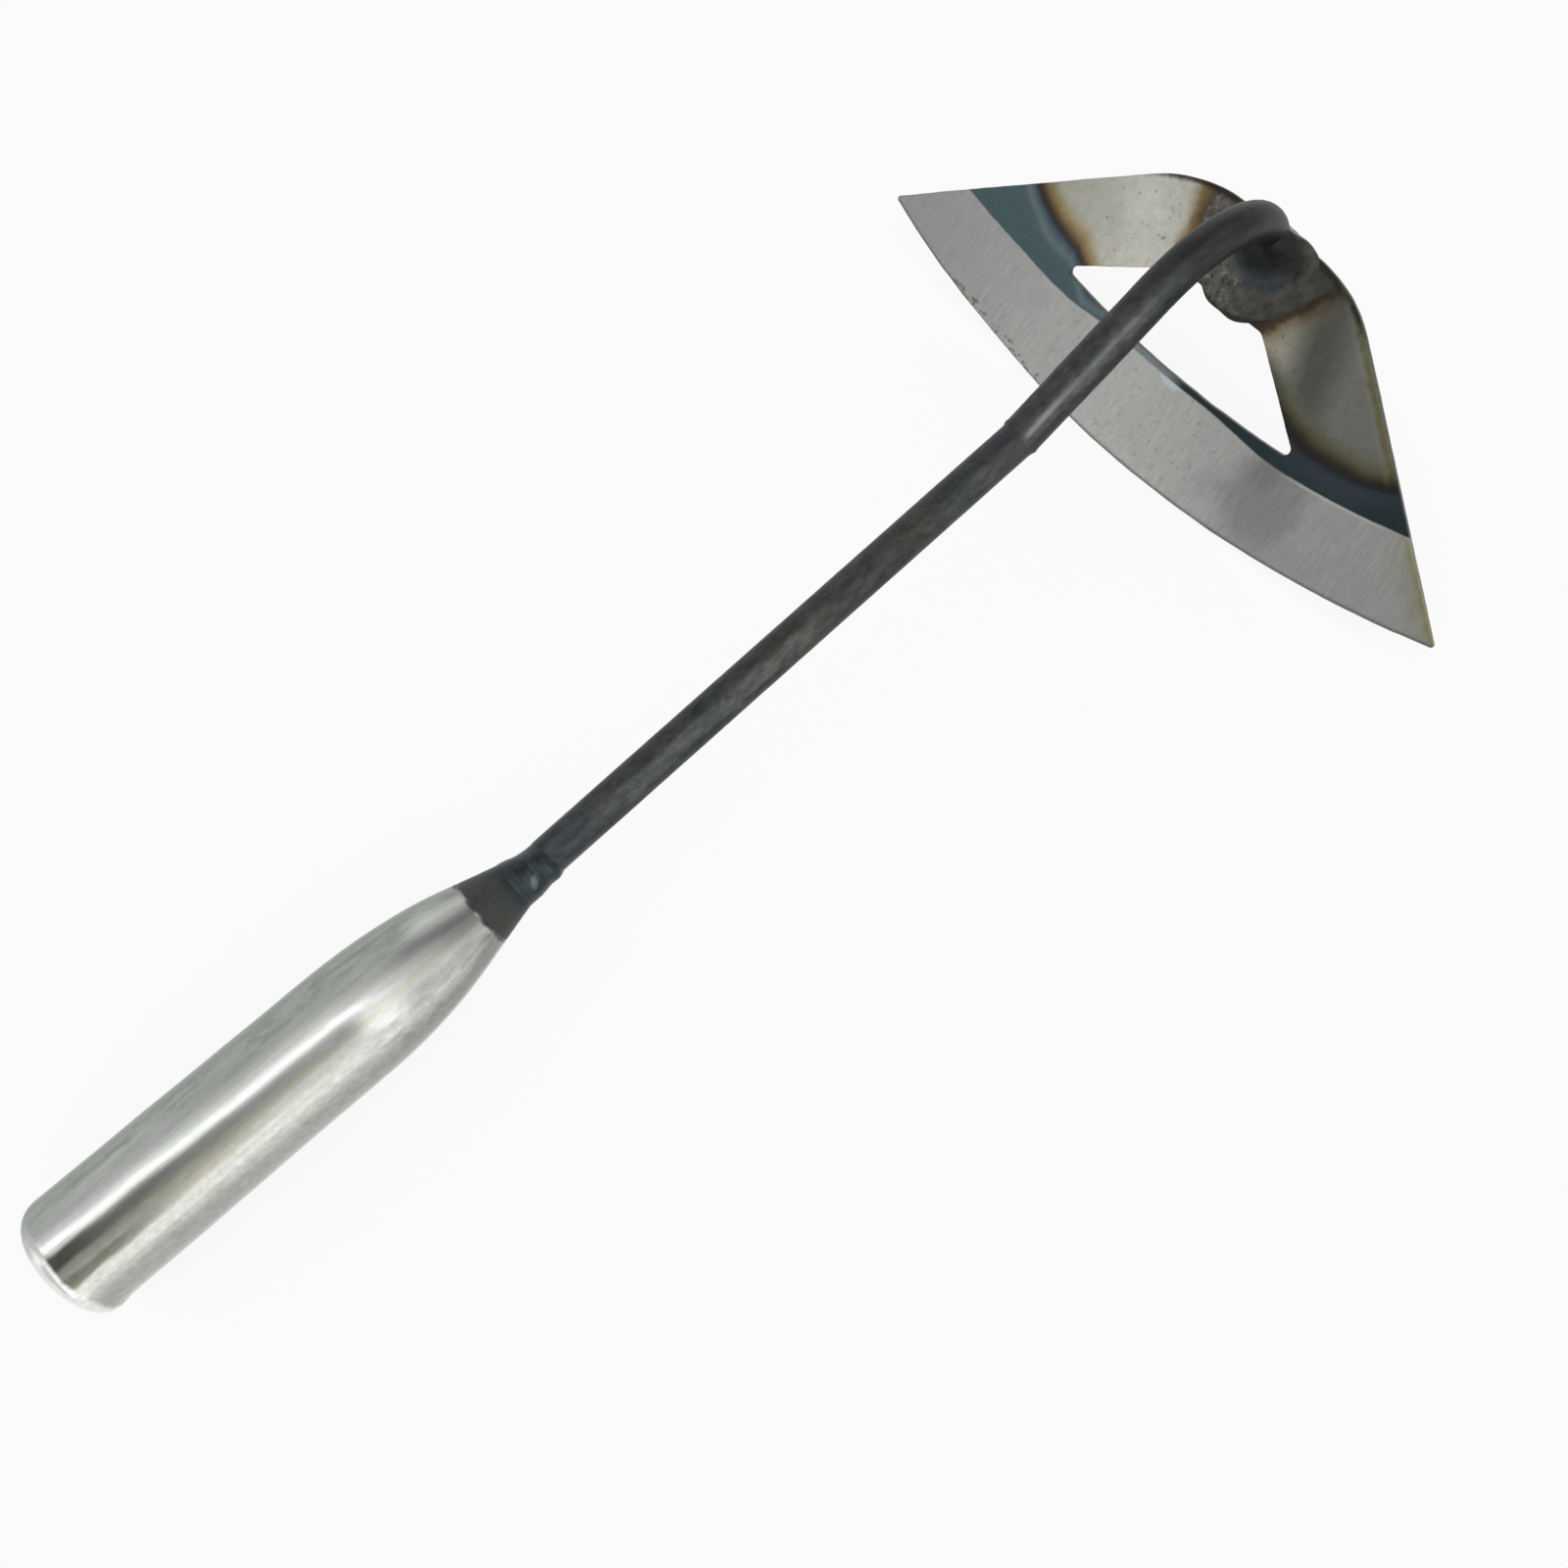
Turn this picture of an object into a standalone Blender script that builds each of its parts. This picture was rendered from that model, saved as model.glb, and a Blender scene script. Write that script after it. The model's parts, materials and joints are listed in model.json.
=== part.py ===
"""A short hollow hoe, all of steel and welded up: a tubular handle closed at its butt,
a round rod that rises into a gooseneck, and a leaning three-sided blade with an opening.

Metres, +Z up. The tool rests on its cutting edge and on the lower rim of the butt, with
its head towards +X. It is the same on both sides of the plane Y = 0, apart from its welds."""

import math

import bmesh
import bpy
from mathutils import Matrix, Vector

# Space left between two pieces that are welded or pressed together
GAP = 0.0003

# Handle tube, measured from the neck back along its own axis
HANDLE_RADIUS = 0.0125
HANDLE_WALL = 0.0015
HANDLE_LENGTH = 0.117
BUTT_ROUND = 0.004
TAPER_START = 0.0495
TAPER_RADIUS = 0.112
NECK_CONE = math.radians(15.0)
TUBE_MOUTH = 0.0165
HANDLE_TURN = math.radians(4.9)

# Ground collar and weld bead between the tube and the rod, on the handle's axis
COLLAR_TIP = 0.0083
BEAD_FRONT = -0.0002
BEAD_FRONT_RADIUS = 0.00495
BEAD_FULLNESS = 2.2
BEAD_LUMP = 0.00015
# Waves round the bead: how many, their height, where they start and how they turn along it
BEAD_WAVES = [(3.0, 0.62, 0.7, 900.0), (5.0, 0.38, -1.1, -1400.0)]

# Straight rod, along the tool's X axis from the neck at X = 0
SHAFT_RADIUS = 0.00425
SHAFT_TANG = 0.022
SHAFT_END = 0.1331

# Butt weld where the two rods meet at a shallow angle
JOINT_BEND = 0.0076
JOINT_TURN = math.radians(15.7)
JOINT_SWELL = 0.00035
JOINT_PATCH = 0.45

# Gooseneck rod, from the weld to the blade's face
NECK_ROD_RADIUS = 0.0045
NECK_RISE = 0.0383
NECK_BEND = 0.035
NECK_SWEEP = math.radians(84.6)
NECK_DROP = 0.0008

# Blade, in its own plane: X across it, Y up it from the line between its two tips,
# Z out of the ground face, which looks back at the handle
BLADE_PLACE = Vector((0.181, 0.0, -0.043))
BLADE_LEAN = math.radians(45.0)
BLADE_THICKNESS = 0.0025
BLADE_HALF_WIDTH = 0.0914
EDGE_DROP = 0.015
ARM_SLOPE = math.radians(35.5)
BLADE_TOP = 0.049
SHOULDER_ROUND = 0.038
TIP_ROUND = 0.0008

# Opening through the blade
OPENING_HALF_WIDTH = 0.0395
OPENING_FOOT = 0.0126
OPENING_DROP = 0.0022
OPENING_SLOPE = math.radians(32.9)
OPENING_TOP = 0.0301
OPENING_TOP_ROUND = 0.003
OPENING_FOOT_ROUND = 0.0022

# Ground bevel: its upper border is an arc, and it thins the plate to the edge land
GRIND_MIDDLE = 0.0084
GRIND_SIDE = (0.071, 0.0148)
EDGE_LAND = 0.00035

# Weld at the apex: a fillet round the rod's foot and a low pad down over the opening's rim
MOUND_RADIUS = 0.0105
MOUND_SIDE = 0.0012
MOUND_PEAK = 0.013
MOUND_CURVE = 1.8
PAD_HEIGHT = 0.0009
PAD_HALF_WIDTH = 0.0122
PAD_FOOT = 0.0183
PAD_HEAD = 0.004
PAD_RIM = 0.35
PAD_SQUARENESS = 2.8

# Facets
HANDLE_SIDES = 48
BEAD_SIDES = 32
ROD_SIDES = 24
TAPER_STEPS = 7
BEAD_STEPS = 6
JOINT_STEPS = 6
NECK_BEND_STEPS = 16
EDGE_FACETS = 29
OPENING_FACETS = 10
GRIND_SECTOR = 36
WELD_SPOKES = 36
WELD_RINGS = 9


def clear_scene():
    for old in list(bpy.data.objects):
        bpy.data.objects.remove(old, do_unlink=True)


def steel(name, colour, roughness, metallic):
    material = bpy.data.materials.new(name)
    material.use_nodes = True
    shader = material.node_tree.nodes["Principled BSDF"]
    shader.inputs["Base Color"].default_value = (*colour, 1.0)
    shader.inputs["Roughness"].default_value = roughness
    shader.inputs["Metallic"].default_value = metallic
    return material


def add_object(name, bm, material, parent):
    """Turn a bmesh into a named object under its parent, with smooth round sides."""
    bmesh.ops.recalc_face_normals(bm, faces=bm.faces)
    mesh = bpy.data.meshes.new(name)
    bm.to_mesh(mesh)
    bm.free()
    if material:
        mesh.materials.append(material)
    mesh.shade_smooth()
    mesh.set_sharp_from_angle(angle=math.radians(35.0))
    thing = bpy.data.objects.new(name, mesh)
    bpy.context.scene.collection.objects.link(thing)
    thing.parent = parent
    return thing


def add_empty(name, parent, matrix):
    empty = bpy.data.objects.new(name, None)
    bpy.context.scene.collection.objects.link(empty)
    empty.parent = parent
    empty.matrix_local = matrix
    return empty


def add_cutter(name, bm, parent):
    cutter = add_object(name, bm, None, parent)
    cutter.hide_render = True
    cutter.display_type = "WIRE"
    return cutter


def cut(thing, cutter):
    modifier = thing.modifiers.new("cut by " + cutter.name, "BOOLEAN")
    modifier.operation = "DIFFERENCE"
    modifier.object = cutter


def arc(centre, radius, start, end, steps):
    """Points of an arc, both ends included."""
    turn = (end - start) / steps
    return [
        (centre[0] + radius * math.cos(start + turn * i), centre[1] + radius * math.sin(start + turn * i))
        for i in range(steps + 1)
    ]


def sagging_arc(half_width, ends_height, drop, steps):
    """Points of the arc from left to right whose middle lies drop below its ends."""
    radius = (half_width**2 + drop**2) / (2.0 * drop)
    spread = math.asin(half_width / radius)
    centre = (0.0, ends_height - drop + radius)
    down = -math.pi / 2.0
    return arc(centre, radius, down - spread, down + spread, steps)


def rounded(corners, steps):
    """Round the corners of an outline given as (point, radius), radius 0 for a plain one."""
    outline = []
    count = len(corners)
    for i, (corner, radius) in enumerate(corners):
        if radius == 0.0:
            outline.append(corner)
            continue
        here = Vector(corner)
        back = (Vector(corners[i - 1][0]) - here).normalized()
        ahead = (Vector(corners[(i + 1) % count][0]) - here).normalized()
        half_angle = back.angle(ahead) / 2.0
        centre = here + (back + ahead).normalized() * radius / math.sin(half_angle)
        reach = radius / math.tan(half_angle)
        first = here + back * reach - centre
        swing = first.angle_signed(here + ahead * reach - centre)
        for step in range(steps + 1):
            spoke = Matrix.Rotation(-swing * step / steps, 2) @ first
            outline.append(tuple(centre + spoke))
    return outline


def turned(profile, sides):
    """Spin (distance along X, radius) points round the X axis into one closed body."""
    bm = bmesh.new()
    half_facet = Matrix.Rotation(math.pi / sides, 3, "X")
    verts = [bm.verts.new(half_facet @ Vector((along, 0.0, radius))) for along, radius in profile]
    edges = [bm.edges.new(pair) for pair in zip(verts, verts[1:])]
    bmesh.ops.spin(
        bm,
        geom=verts + edges,
        cent=(0.0, 0.0, 0.0),
        axis=(1.0, 0.0, 0.0),
        angle=2.0 * math.pi,
        steps=sides,
        use_merge=True,
    )
    bmesh.ops.remove_doubles(bm, verts=bm.verts, dist=1e-6)
    return bm


def heading_vector(heading):
    return Vector((math.cos(heading), 0.0, math.sin(heading)))


def bend_centre(place, heading, radius, turn):
    side = math.copysign(1.0, turn)
    return place + heading_vector(heading + side * math.pi / 2.0) * radius


def walk(place, heading, moves):
    """Follow (length or bend radius, turn) moves in the plane Y = 0 and say where they end."""
    for size, turn in moves:
        if turn == 0.0:
            place = place + heading_vector(heading) * size
        else:
            centre = bend_centre(place, heading, size, turn)
            place = centre + Matrix.Rotation(-turn, 3, "Y") @ (place - centre)
            heading = heading + turn
    return place, heading


def swept_rod(place, heading, moves, radius, bend_steps):
    """Extrude and spin a circle along the moves. Gives the mesh and the last ring."""
    bm = bmesh.new()
    facing = Matrix.Rotation(math.pi / 2.0 - heading, 4, "Y")
    half_facet = Matrix.Rotation(math.pi / ROD_SIDES, 4, "Z")
    bmesh.ops.create_circle(
        bm,
        segments=ROD_SIDES,
        radius=radius,
        cap_ends=True,
        matrix=Matrix.Translation(place) @ facing @ half_facet,
    )
    ring = list(bm.edges)
    for size, turn in moves:
        if turn == 0.0:
            grown = bmesh.ops.extrude_edge_only(bm, edges=ring)["geom"]
            moved = {item for item in grown if isinstance(item, bmesh.types.BMVert)}
            bmesh.ops.translate(bm, vec=heading_vector(heading) * size, verts=list(moved))
            ring = [
                item for item in grown if isinstance(item, bmesh.types.BMEdge) and set(item.verts) <= moved
            ]
        else:
            ring_verts = list({vert for edge in ring for vert in edge.verts})
            last = bmesh.ops.spin(
                bm,
                geom=ring_verts + ring,
                cent=bend_centre(place, heading, size, turn),
                axis=(0.0, -1.0, 0.0),
                angle=turn,
                steps=bend_steps,
            )["geom_last"]
            ring = [item for item in last if isinstance(item, bmesh.types.BMEdge)]
        place, heading = walk(place, heading, [(size, turn)])
    end_cap = bmesh.ops.contextual_create(bm, geom=ring)["faces"][0]
    return bm, list(end_cap.verts)


def lumpy(bm):
    """Swell the neck's bead by low uneven waves, square to the handle's axis."""
    for vert in bm.verts:
        spoke = Vector((0.0, vert.co.y, vert.co.z))
        if spoke.length < 1e-6:
            continue
        round_it = math.atan2(spoke.z, spoke.y)
        wave = 0.0
        for count, share, start, twist in BEAD_WAVES:
            wave += share * math.sin(count * round_it + start + twist * vert.co.x)
        vert.co += spoke.normalized() * BEAD_LUMP * wave
    return bm


def handle_outline(distance):
    """Outer radius of the handle at a distance from the neck: cone, long curve, tube."""
    cone_end = TAPER_START - TAPER_RADIUS * math.sin(NECK_CONE)
    if distance >= TAPER_START:
        return HANDLE_RADIUS
    bend = max(distance, cone_end)
    curve_drop = TAPER_RADIUS - math.sqrt(TAPER_RADIUS**2 - (TAPER_START - bend) ** 2)
    return HANDLE_RADIUS - curve_drop - (bend - distance) * math.tan(NECK_CONE)


def handle_tube(material, parent):
    """Thin tube, swaged down to the collar at one end and closed round at the butt."""
    cone_end = TAPER_START - TAPER_RADIUS * math.sin(NECK_CONE)
    stations = [TAPER_START + (cone_end - TAPER_START) * i / TAPER_STEPS for i in range(TAPER_STEPS + 1)]
    stations.append(TUBE_MOUTH)
    taper = [(distance, handle_outline(distance)) for distance in stations]
    bore_taper = [(distance, radius - HANDLE_WALL) for distance, radius in taper]

    def butt(inset):
        round_radius = BUTT_ROUND - inset
        centre = (HANDLE_LENGTH - BUTT_ROUND, HANDLE_RADIUS - BUTT_ROUND)
        return [(HANDLE_LENGTH - inset, 0.0)] + arc(centre, round_radius, 0.0, math.pi / 2.0, 4)

    profile = butt(0.0) + taper + bore_taper[::-1] + butt(HANDLE_WALL)[::-1]
    return add_object("handle_tube", turned(profile, HANDLE_SIDES), material, parent)


def neck_collar(material, parent, rod_cutter):
    """Cone ground flush between the tube's mouth and the bead, bored for the rod."""
    back = TUBE_MOUTH - GAP
    profile = [
        (back, 0.0),
        (back, handle_outline(back)),
        (COLLAR_TIP, handle_outline(COLLAR_TIP)),
        (COLLAR_TIP, 0.0),
    ]
    collar = add_object("neck_collar", turned(profile, HANDLE_SIDES), material, parent)
    cut(collar, rod_cutter)


def neck_weld_bead(material, parent, rod_cutter):
    """Uneven ring of weld metal where the rod leaves the collar."""
    back = COLLAR_TIP - GAP
    swell = handle_outline(COLLAR_TIP) - BEAD_FRONT_RADIUS
    profile = [(back, 0.0)]
    for i in range(BEAD_STEPS + 1):
        share = i / BEAD_STEPS
        along = back + (BEAD_FRONT - back) * share
        profile.append((along, BEAD_FRONT_RADIUS + swell * (1.0 - share**BEAD_FULLNESS)))
    profile.append((BEAD_FRONT, 0.0))
    bead = add_object("neck_weld_bead", lumpy(turned(profile, BEAD_SIDES)), material, parent)
    cut(bead, rod_cutter)


def shaft_rod(material, parent):
    """Straight rod, its tang held inside the handle's neck."""
    start = Vector((-SHAFT_TANG, 0.0, 0.0))
    bm, _ = swept_rod(start, 0.0, [(SHAFT_TANG + SHAFT_END - GAP, 0.0)], SHAFT_RADIUS, 1)
    return add_object("shaft_rod", bm, material, parent)


def shaft_cutter(parent):
    reach = 2.0 * SHAFT_TANG
    bm, _ = swept_rod(Vector((-reach, 0.0, 0.0)), 0.0, [(2.0 * reach, 0.0)], SHAFT_RADIUS + GAP, 1)
    return add_cutter("shaft_bore_cutter", bm, parent)


def rod_joint_weld(material, parent):
    """Butt weld between the rods: a short bend whose rim stands a little proud."""
    start = Vector((SHAFT_END, 0.0, 0.0))
    bm, _ = swept_rod(start, 0.0, [(JOINT_BEND, JOINT_TURN)], SHAFT_RADIUS, JOINT_STEPS)
    centre = bend_centre(start, 0.0, JOINT_BEND, JOINT_TURN)
    for vert in bm.verts:
        arm = vert.co - centre
        arm.y = 0.0
        swing = arm.angle(start - centre)
        swell = math.sin(math.pi * min(swing / JOINT_TURN, 1.0))
        middle = centre + arm.normalized() * JOINT_BEND
        spoke = vert.co - middle
        round_it = math.atan2(spoke.z, spoke.y)
        patch = 1.0 - JOINT_PATCH + JOINT_PATCH * math.cos(2.0 * round_it)
        vert.co += spoke.normalized() * JOINT_SWELL * swell * patch
    return add_object("rod_joint_weld", bm, material, parent)


def gooseneck_moves():
    return [(NECK_RISE, 0.0), (NECK_BEND, -NECK_SWEEP), (NECK_DROP, 0.0)]


def gooseneck_start():
    place, heading = walk(Vector((SHAFT_END, 0.0, 0.0)), 0.0, [(JOINT_BEND, JOINT_TURN)])
    return place + heading_vector(heading) * GAP, heading


def gooseneck_rod(material, parent, blade_matrix):
    """Bent rod, mitred to stand on the blade's face."""
    place, heading = gooseneck_start()
    bm, foot = swept_rod(place, heading, gooseneck_moves(), NECK_ROD_RADIUS, NECK_BEND_STEPS)
    _, last_heading = walk(place, heading, gooseneck_moves())
    along = heading_vector(last_heading)
    face_out = blade_matrix.to_3x3().col[2]
    face_point = blade_matrix.translation + face_out * GAP
    for vert in foot:
        vert.co += along * (face_point - vert.co).dot(face_out) / along.dot(face_out)
    return add_object("gooseneck_rod", bm, material, parent)


def gooseneck_cutter(parent):
    place, heading = gooseneck_start()
    moves = gooseneck_moves() + [(2.0 * NECK_ROD_RADIUS, 0.0)]
    bm, _ = swept_rod(place, heading, moves, NECK_ROD_RADIUS + GAP, NECK_BEND_STEPS)
    return add_cutter("gooseneck_cutter", bm, parent)


def gooseneck_foot(blade_matrix):
    """Where the rod's centre line meets the ground face, in the blade's own plane."""
    place, heading = walk(*gooseneck_start(), gooseneck_moves())
    to_blade = blade_matrix.inverted()
    point = to_blade @ place
    along = to_blade.to_3x3() @ heading_vector(heading)
    return point - along * point.z / along.z


def blade_outline():
    edge = sagging_arc(BLADE_HALF_WIDTH, 0.0, EDGE_DROP, EDGE_FACETS)
    shoulder = BLADE_HALF_WIDTH - BLADE_TOP / math.tan(ARM_SLOPE)
    corners = [(edge[0], TIP_ROUND)]
    corners += [(point, 0.0) for point in edge[1:-1]]
    corners += [
        (edge[-1], TIP_ROUND),
        ((shoulder, BLADE_TOP), SHOULDER_ROUND),
        ((-shoulder, BLADE_TOP), SHOULDER_ROUND),
    ]
    return rounded(corners, 6)


def opening_outline():
    foot = sagging_arc(OPENING_HALF_WIDTH, OPENING_FOOT, OPENING_DROP, OPENING_FACETS)
    head = OPENING_HALF_WIDTH - (OPENING_TOP - OPENING_FOOT) / math.tan(OPENING_SLOPE)
    corners = [(foot[0], OPENING_FOOT_ROUND)]
    corners += [(point, 0.0) for point in foot[1:-1]]
    corners += [
        (foot[-1], OPENING_FOOT_ROUND),
        ((head, OPENING_TOP), OPENING_TOP_ROUND),
        ((-head, OPENING_TOP), OPENING_TOP_ROUND),
    ]
    return rounded(corners, 4)


def grind_cutter(parent):
    """Ring sector that takes the bevel off the ground face, spun round the border's centre."""
    side_x, side_y = GRIND_SIDE
    rise = side_y - GRIND_MIDDLE
    radius = (side_x**2 + rise**2) / (2.0 * rise)
    centre = Vector((0.0, GRIND_MIDDLE + radius, 0.0))
    width = GRIND_MIDDLE + EDGE_DROP
    slope = (BLADE_THICKNESS - EDGE_LAND) / width
    clear = 0.003
    inside = 2.0 * clear
    outside = width + 2.0 * clear
    section = [(-inside, inside * slope), (outside, -outside * slope), (outside, clear), (-inside, clear)]
    sector = math.radians(GRIND_SECTOR)
    to_start = Matrix.Translation(centre) @ Matrix.Rotation(-sector / 2.0, 4, "Z")
    bm = bmesh.new()
    verts = [bm.verts.new(to_start @ Vector((0.0, -radius - out, up))) for out, up in section]
    face = bm.faces.new(verts)
    bmesh.ops.spin(bm, geom=[face], cent=centre, axis=(0.0, 0.0, 1.0), angle=sector, steps=GRIND_SECTOR)
    return add_cutter("grind_cutter", bm, parent)


def blade_plate(material, parent):
    """Flat plate with its opening, ground to a thin land along the curved edge."""
    bm = bmesh.new()
    edges = []
    for outline in (blade_outline(), opening_outline()):
        verts = [bm.verts.new((x, y, -BLADE_THICKNESS)) for x, y in outline]
        edges += [bm.edges.new((verts[i - 1], verts[i])) for i in range(len(verts))]
    bmesh.ops.triangle_fill(bm, edges=edges, use_beauty=True, normal=(0.0, 0.0, -1.0))
    grown = bmesh.ops.extrude_face_region(bm, geom=list(bm.faces))["geom"]
    risen = [item for item in grown if isinstance(item, bmesh.types.BMVert)]
    bmesh.ops.translate(bm, vec=(0.0, 0.0, BLADE_THICKNESS), verts=risen)
    plate = add_object("blade_plate", bm, material, parent)
    cut(plate, grind_cutter(parent))
    return plate


def apex_weld(material, parent, foot, rod_cutter):
    """Fillet round the rod's foot that runs out into a low pad above the opening."""
    middle_x = foot.x + MOUND_SIDE
    bm = bmesh.new()

    def reach(angle):
        tall = PAD_HEAD if math.sin(angle) > 0.0 else PAD_FOOT
        wide_share = abs(math.cos(angle) / PAD_HALF_WIDTH) ** PAD_SQUARENESS
        tall_share = abs(math.sin(angle) / tall) ** PAD_SQUARENESS
        return (wide_share + tall_share) ** (-1.0 / PAD_SQUARENESS)

    def height(distance, limit):
        closeness = max(0.0, 1.0 - distance / MOUND_RADIUS)
        pad = PAD_HEIGHT * math.sqrt(max(0.0, 1.0 - (distance / limit) ** 4))
        return GAP + pad + MOUND_PEAK * closeness**MOUND_CURVE

    peak = bm.verts.new((middle_x, foot.y, height(0.0, 1.0)))
    base = bm.verts.new((middle_x, foot.y, GAP))
    ring_rows = []
    for ring in range(1, WELD_RINGS + 1):
        row = []
        for spoke in range(WELD_SPOKES):
            angle = 2.0 * math.pi * spoke / WELD_SPOKES
            distance = reach(angle) * ring / WELD_RINGS
            x = middle_x + distance * math.cos(angle)
            y = foot.y + distance * math.sin(angle)
            rim = PAD_RIM * PAD_HEIGHT if ring == WELD_RINGS else 0.0
            row.append(bm.verts.new((x, y, height(distance, reach(angle)) + rim)))
        ring_rows.append(row)
    floor_row = [bm.verts.new((vert.co.x, vert.co.y, GAP)) for vert in ring_rows[-1]]
    for i in range(WELD_SPOKES):
        j = (i + 1) % WELD_SPOKES
        bm.faces.new((peak, ring_rows[0][i], ring_rows[0][j]))
        for inner, outer in zip(ring_rows, ring_rows[1:] + [floor_row]):
            bm.faces.new((inner[i], outer[i], outer[j], inner[j]))
        bm.faces.new((base, floor_row[j], floor_row[i]))
    weld = add_object("apex_weld", bm, material, parent)
    cut(weld, rod_cutter)


def rest_turn():
    """Turn about Y that sets the cutting edge and the butt's round on one level."""
    axis = Matrix.Rotation(math.pi + HANDLE_TURN, 3, "Y")
    butt = axis @ Vector((HANDLE_LENGTH - BUTT_ROUND, 0.0, HANDLE_RADIUS - BUTT_ROUND))
    edge_local = Vector((0.0, -EDGE_DROP, -BLADE_THICKNESS))
    edge = blade_frame() @ edge_local
    reach = edge - butt
    distance = math.hypot(reach.x, reach.z)
    return math.atan2(reach.z, reach.x) + math.asin(BUTT_ROUND / distance)


def blade_frame():
    across = Vector((0.0, -1.0, 0.0))
    up = Vector((math.sin(BLADE_LEAN), 0.0, math.cos(BLADE_LEAN)))
    columns = Matrix((across, up, across.cross(up))).transposed()
    return Matrix.Translation(BLADE_PLACE) @ columns.to_4x4()


def stand_on_ground(tool):
    """Centre the tool on the origin and set its lowest point on Z = 0."""
    bpy.context.view_layer.update()
    graph = bpy.context.evaluated_depsgraph_get()
    low = Vector((math.inf,) * 3)
    high = -low
    for thing in bpy.context.scene.objects:
        if thing.type != "MESH" or thing.hide_render:
            continue
        solid = thing.evaluated_get(graph)
        for vert in solid.data.vertices:
            point = solid.matrix_world @ vert.co
            low = Vector(map(min, low, point))
            high = Vector(map(max, high, point))
    middle = (low + high) / 2.0
    tool.location = (-middle.x, -middle.y, -low.z)
    bpy.context.view_layer.update()


def main():
    clear_scene()
    bright_tube = steel("bright_tube", (0.62, 0.64, 0.61), 0.28, 1.0)
    ground_collar = steel("ground_collar", (0.17, 0.17, 0.17), 0.45, 1.0)
    weld_metal = steel("weld_metal", (0.07, 0.08, 0.09), 0.5, 0.8)
    scaled_rod = steel("scaled_rod", (0.08, 0.085, 0.085), 0.5, 0.7)
    blade_steel = steel("blade_steel", (0.48, 0.48, 0.45), 0.35, 1.0)

    tool = add_empty("tool", None, Matrix.Rotation(rest_turn(), 4, "Y"))
    handle_axis = add_empty("handle_axis", tool, Matrix.Rotation(math.pi + HANDLE_TURN, 4, "Y"))
    blade_axes = add_empty("blade_axes", tool, blade_frame())

    bore = shaft_cutter(tool)
    handle_tube(bright_tube, handle_axis)
    neck_collar(ground_collar, handle_axis, bore)
    neck_weld_bead(weld_metal, handle_axis, bore)
    shaft_rod(scaled_rod, tool)
    rod_joint_weld(weld_metal, tool)
    gooseneck_rod(scaled_rod, tool, blade_frame())
    blade_plate(blade_steel, blade_axes)
    apex_weld(weld_metal, blade_axes, gooseneck_foot(blade_frame()), gooseneck_cutter(tool))
    stand_on_ground(tool)


main()
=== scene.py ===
import json
from functools import partialmethod
from math import asin, atan2, ceil, copysign, cos, exp, pi, radians, sin, sqrt, tan

import bmesh
import bpy
from mathutils import Matrix, Vector, noise
from mathutils.geometry import delaunay_2d_cdt


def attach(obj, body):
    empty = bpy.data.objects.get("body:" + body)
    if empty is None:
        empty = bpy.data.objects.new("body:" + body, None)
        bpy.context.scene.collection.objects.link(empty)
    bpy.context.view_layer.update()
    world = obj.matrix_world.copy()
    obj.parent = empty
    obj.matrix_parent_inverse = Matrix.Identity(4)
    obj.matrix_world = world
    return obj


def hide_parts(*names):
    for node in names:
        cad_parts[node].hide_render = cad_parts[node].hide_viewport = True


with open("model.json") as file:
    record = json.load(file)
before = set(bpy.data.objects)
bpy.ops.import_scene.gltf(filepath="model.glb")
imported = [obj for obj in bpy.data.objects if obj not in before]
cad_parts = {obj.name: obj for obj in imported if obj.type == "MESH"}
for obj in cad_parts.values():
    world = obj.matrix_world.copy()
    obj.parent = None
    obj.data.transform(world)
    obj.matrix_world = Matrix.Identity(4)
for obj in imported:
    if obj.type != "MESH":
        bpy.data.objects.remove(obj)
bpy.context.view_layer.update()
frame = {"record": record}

MM = 1000

# Handle tube, measured from the neck back along its own axis
HANDLE_RADIUS = 0.0125
HANDLE_WALL = 0.0015
HANDLE_LENGTH = 0.117
BUTT_ROUND = 0.004
TAPER_START = 0.0495
TAPER_RADIUS = 0.112
NECK_CONE = radians(15)
TUBE_MOUTH = 0.0165
HANDLE_TURN = radians(4.9)
COLLAR_TIP = 0.0083

# Rods, the weld between them and the bend over to the blade
SHAFT_RADIUS = 0.00425
SHAFT_END = 0.1331
JOINT_BEND = 0.0076
JOINT_TURN = radians(15.7)
NECK_ROD_RADIUS = 0.0045
NECK_RISE = 0.0383
NECK_BEND = 0.035
NECK_SWEEP = radians(84.6)
NECK_DROP = 0.0008
ROD_OVERLAP = 0.0006

# Blade, in its own plane: u across it, h up it from the line between its tips, n out of the ground face
BACK_POINT_HEIGHT = 0.039
BLADE_THICKNESS = 0.0025
BLADE_HALF_WIDTH = 0.0914
EDGE_DROP = 0.015
ARM_SLOPE = radians(35.5)
BLADE_TOP = 0.049
SHOULDER_ROUND = 0.038
TIP_ROUND = 0.0008
RIM_ROUND = 0.00028
RIM_INSET = 0.0006
EDGE_WEAR = 0.0006
EDGE_WEAR_MIDDLE = -0.045
EDGE_WEAR_HALF_WIDTH = 0.022
OPENING_LEFT_FOOT = (-0.0389, 0.0136)
OPENING_RIGHT_FOOT = (0.0384, 0.0124)
OPENING_LEFT_HEAD = (-0.013, 0.0299)
OPENING_RIGHT_HEAD = (0.0122, 0.0299)
OPENING_DROP = 0.0026
OPENING_HEAD_ROUND = 0.003
OPENING_LEFT_ROUND = 0.0012
OPENING_RIGHT_ROUND = 0.0015

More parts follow.
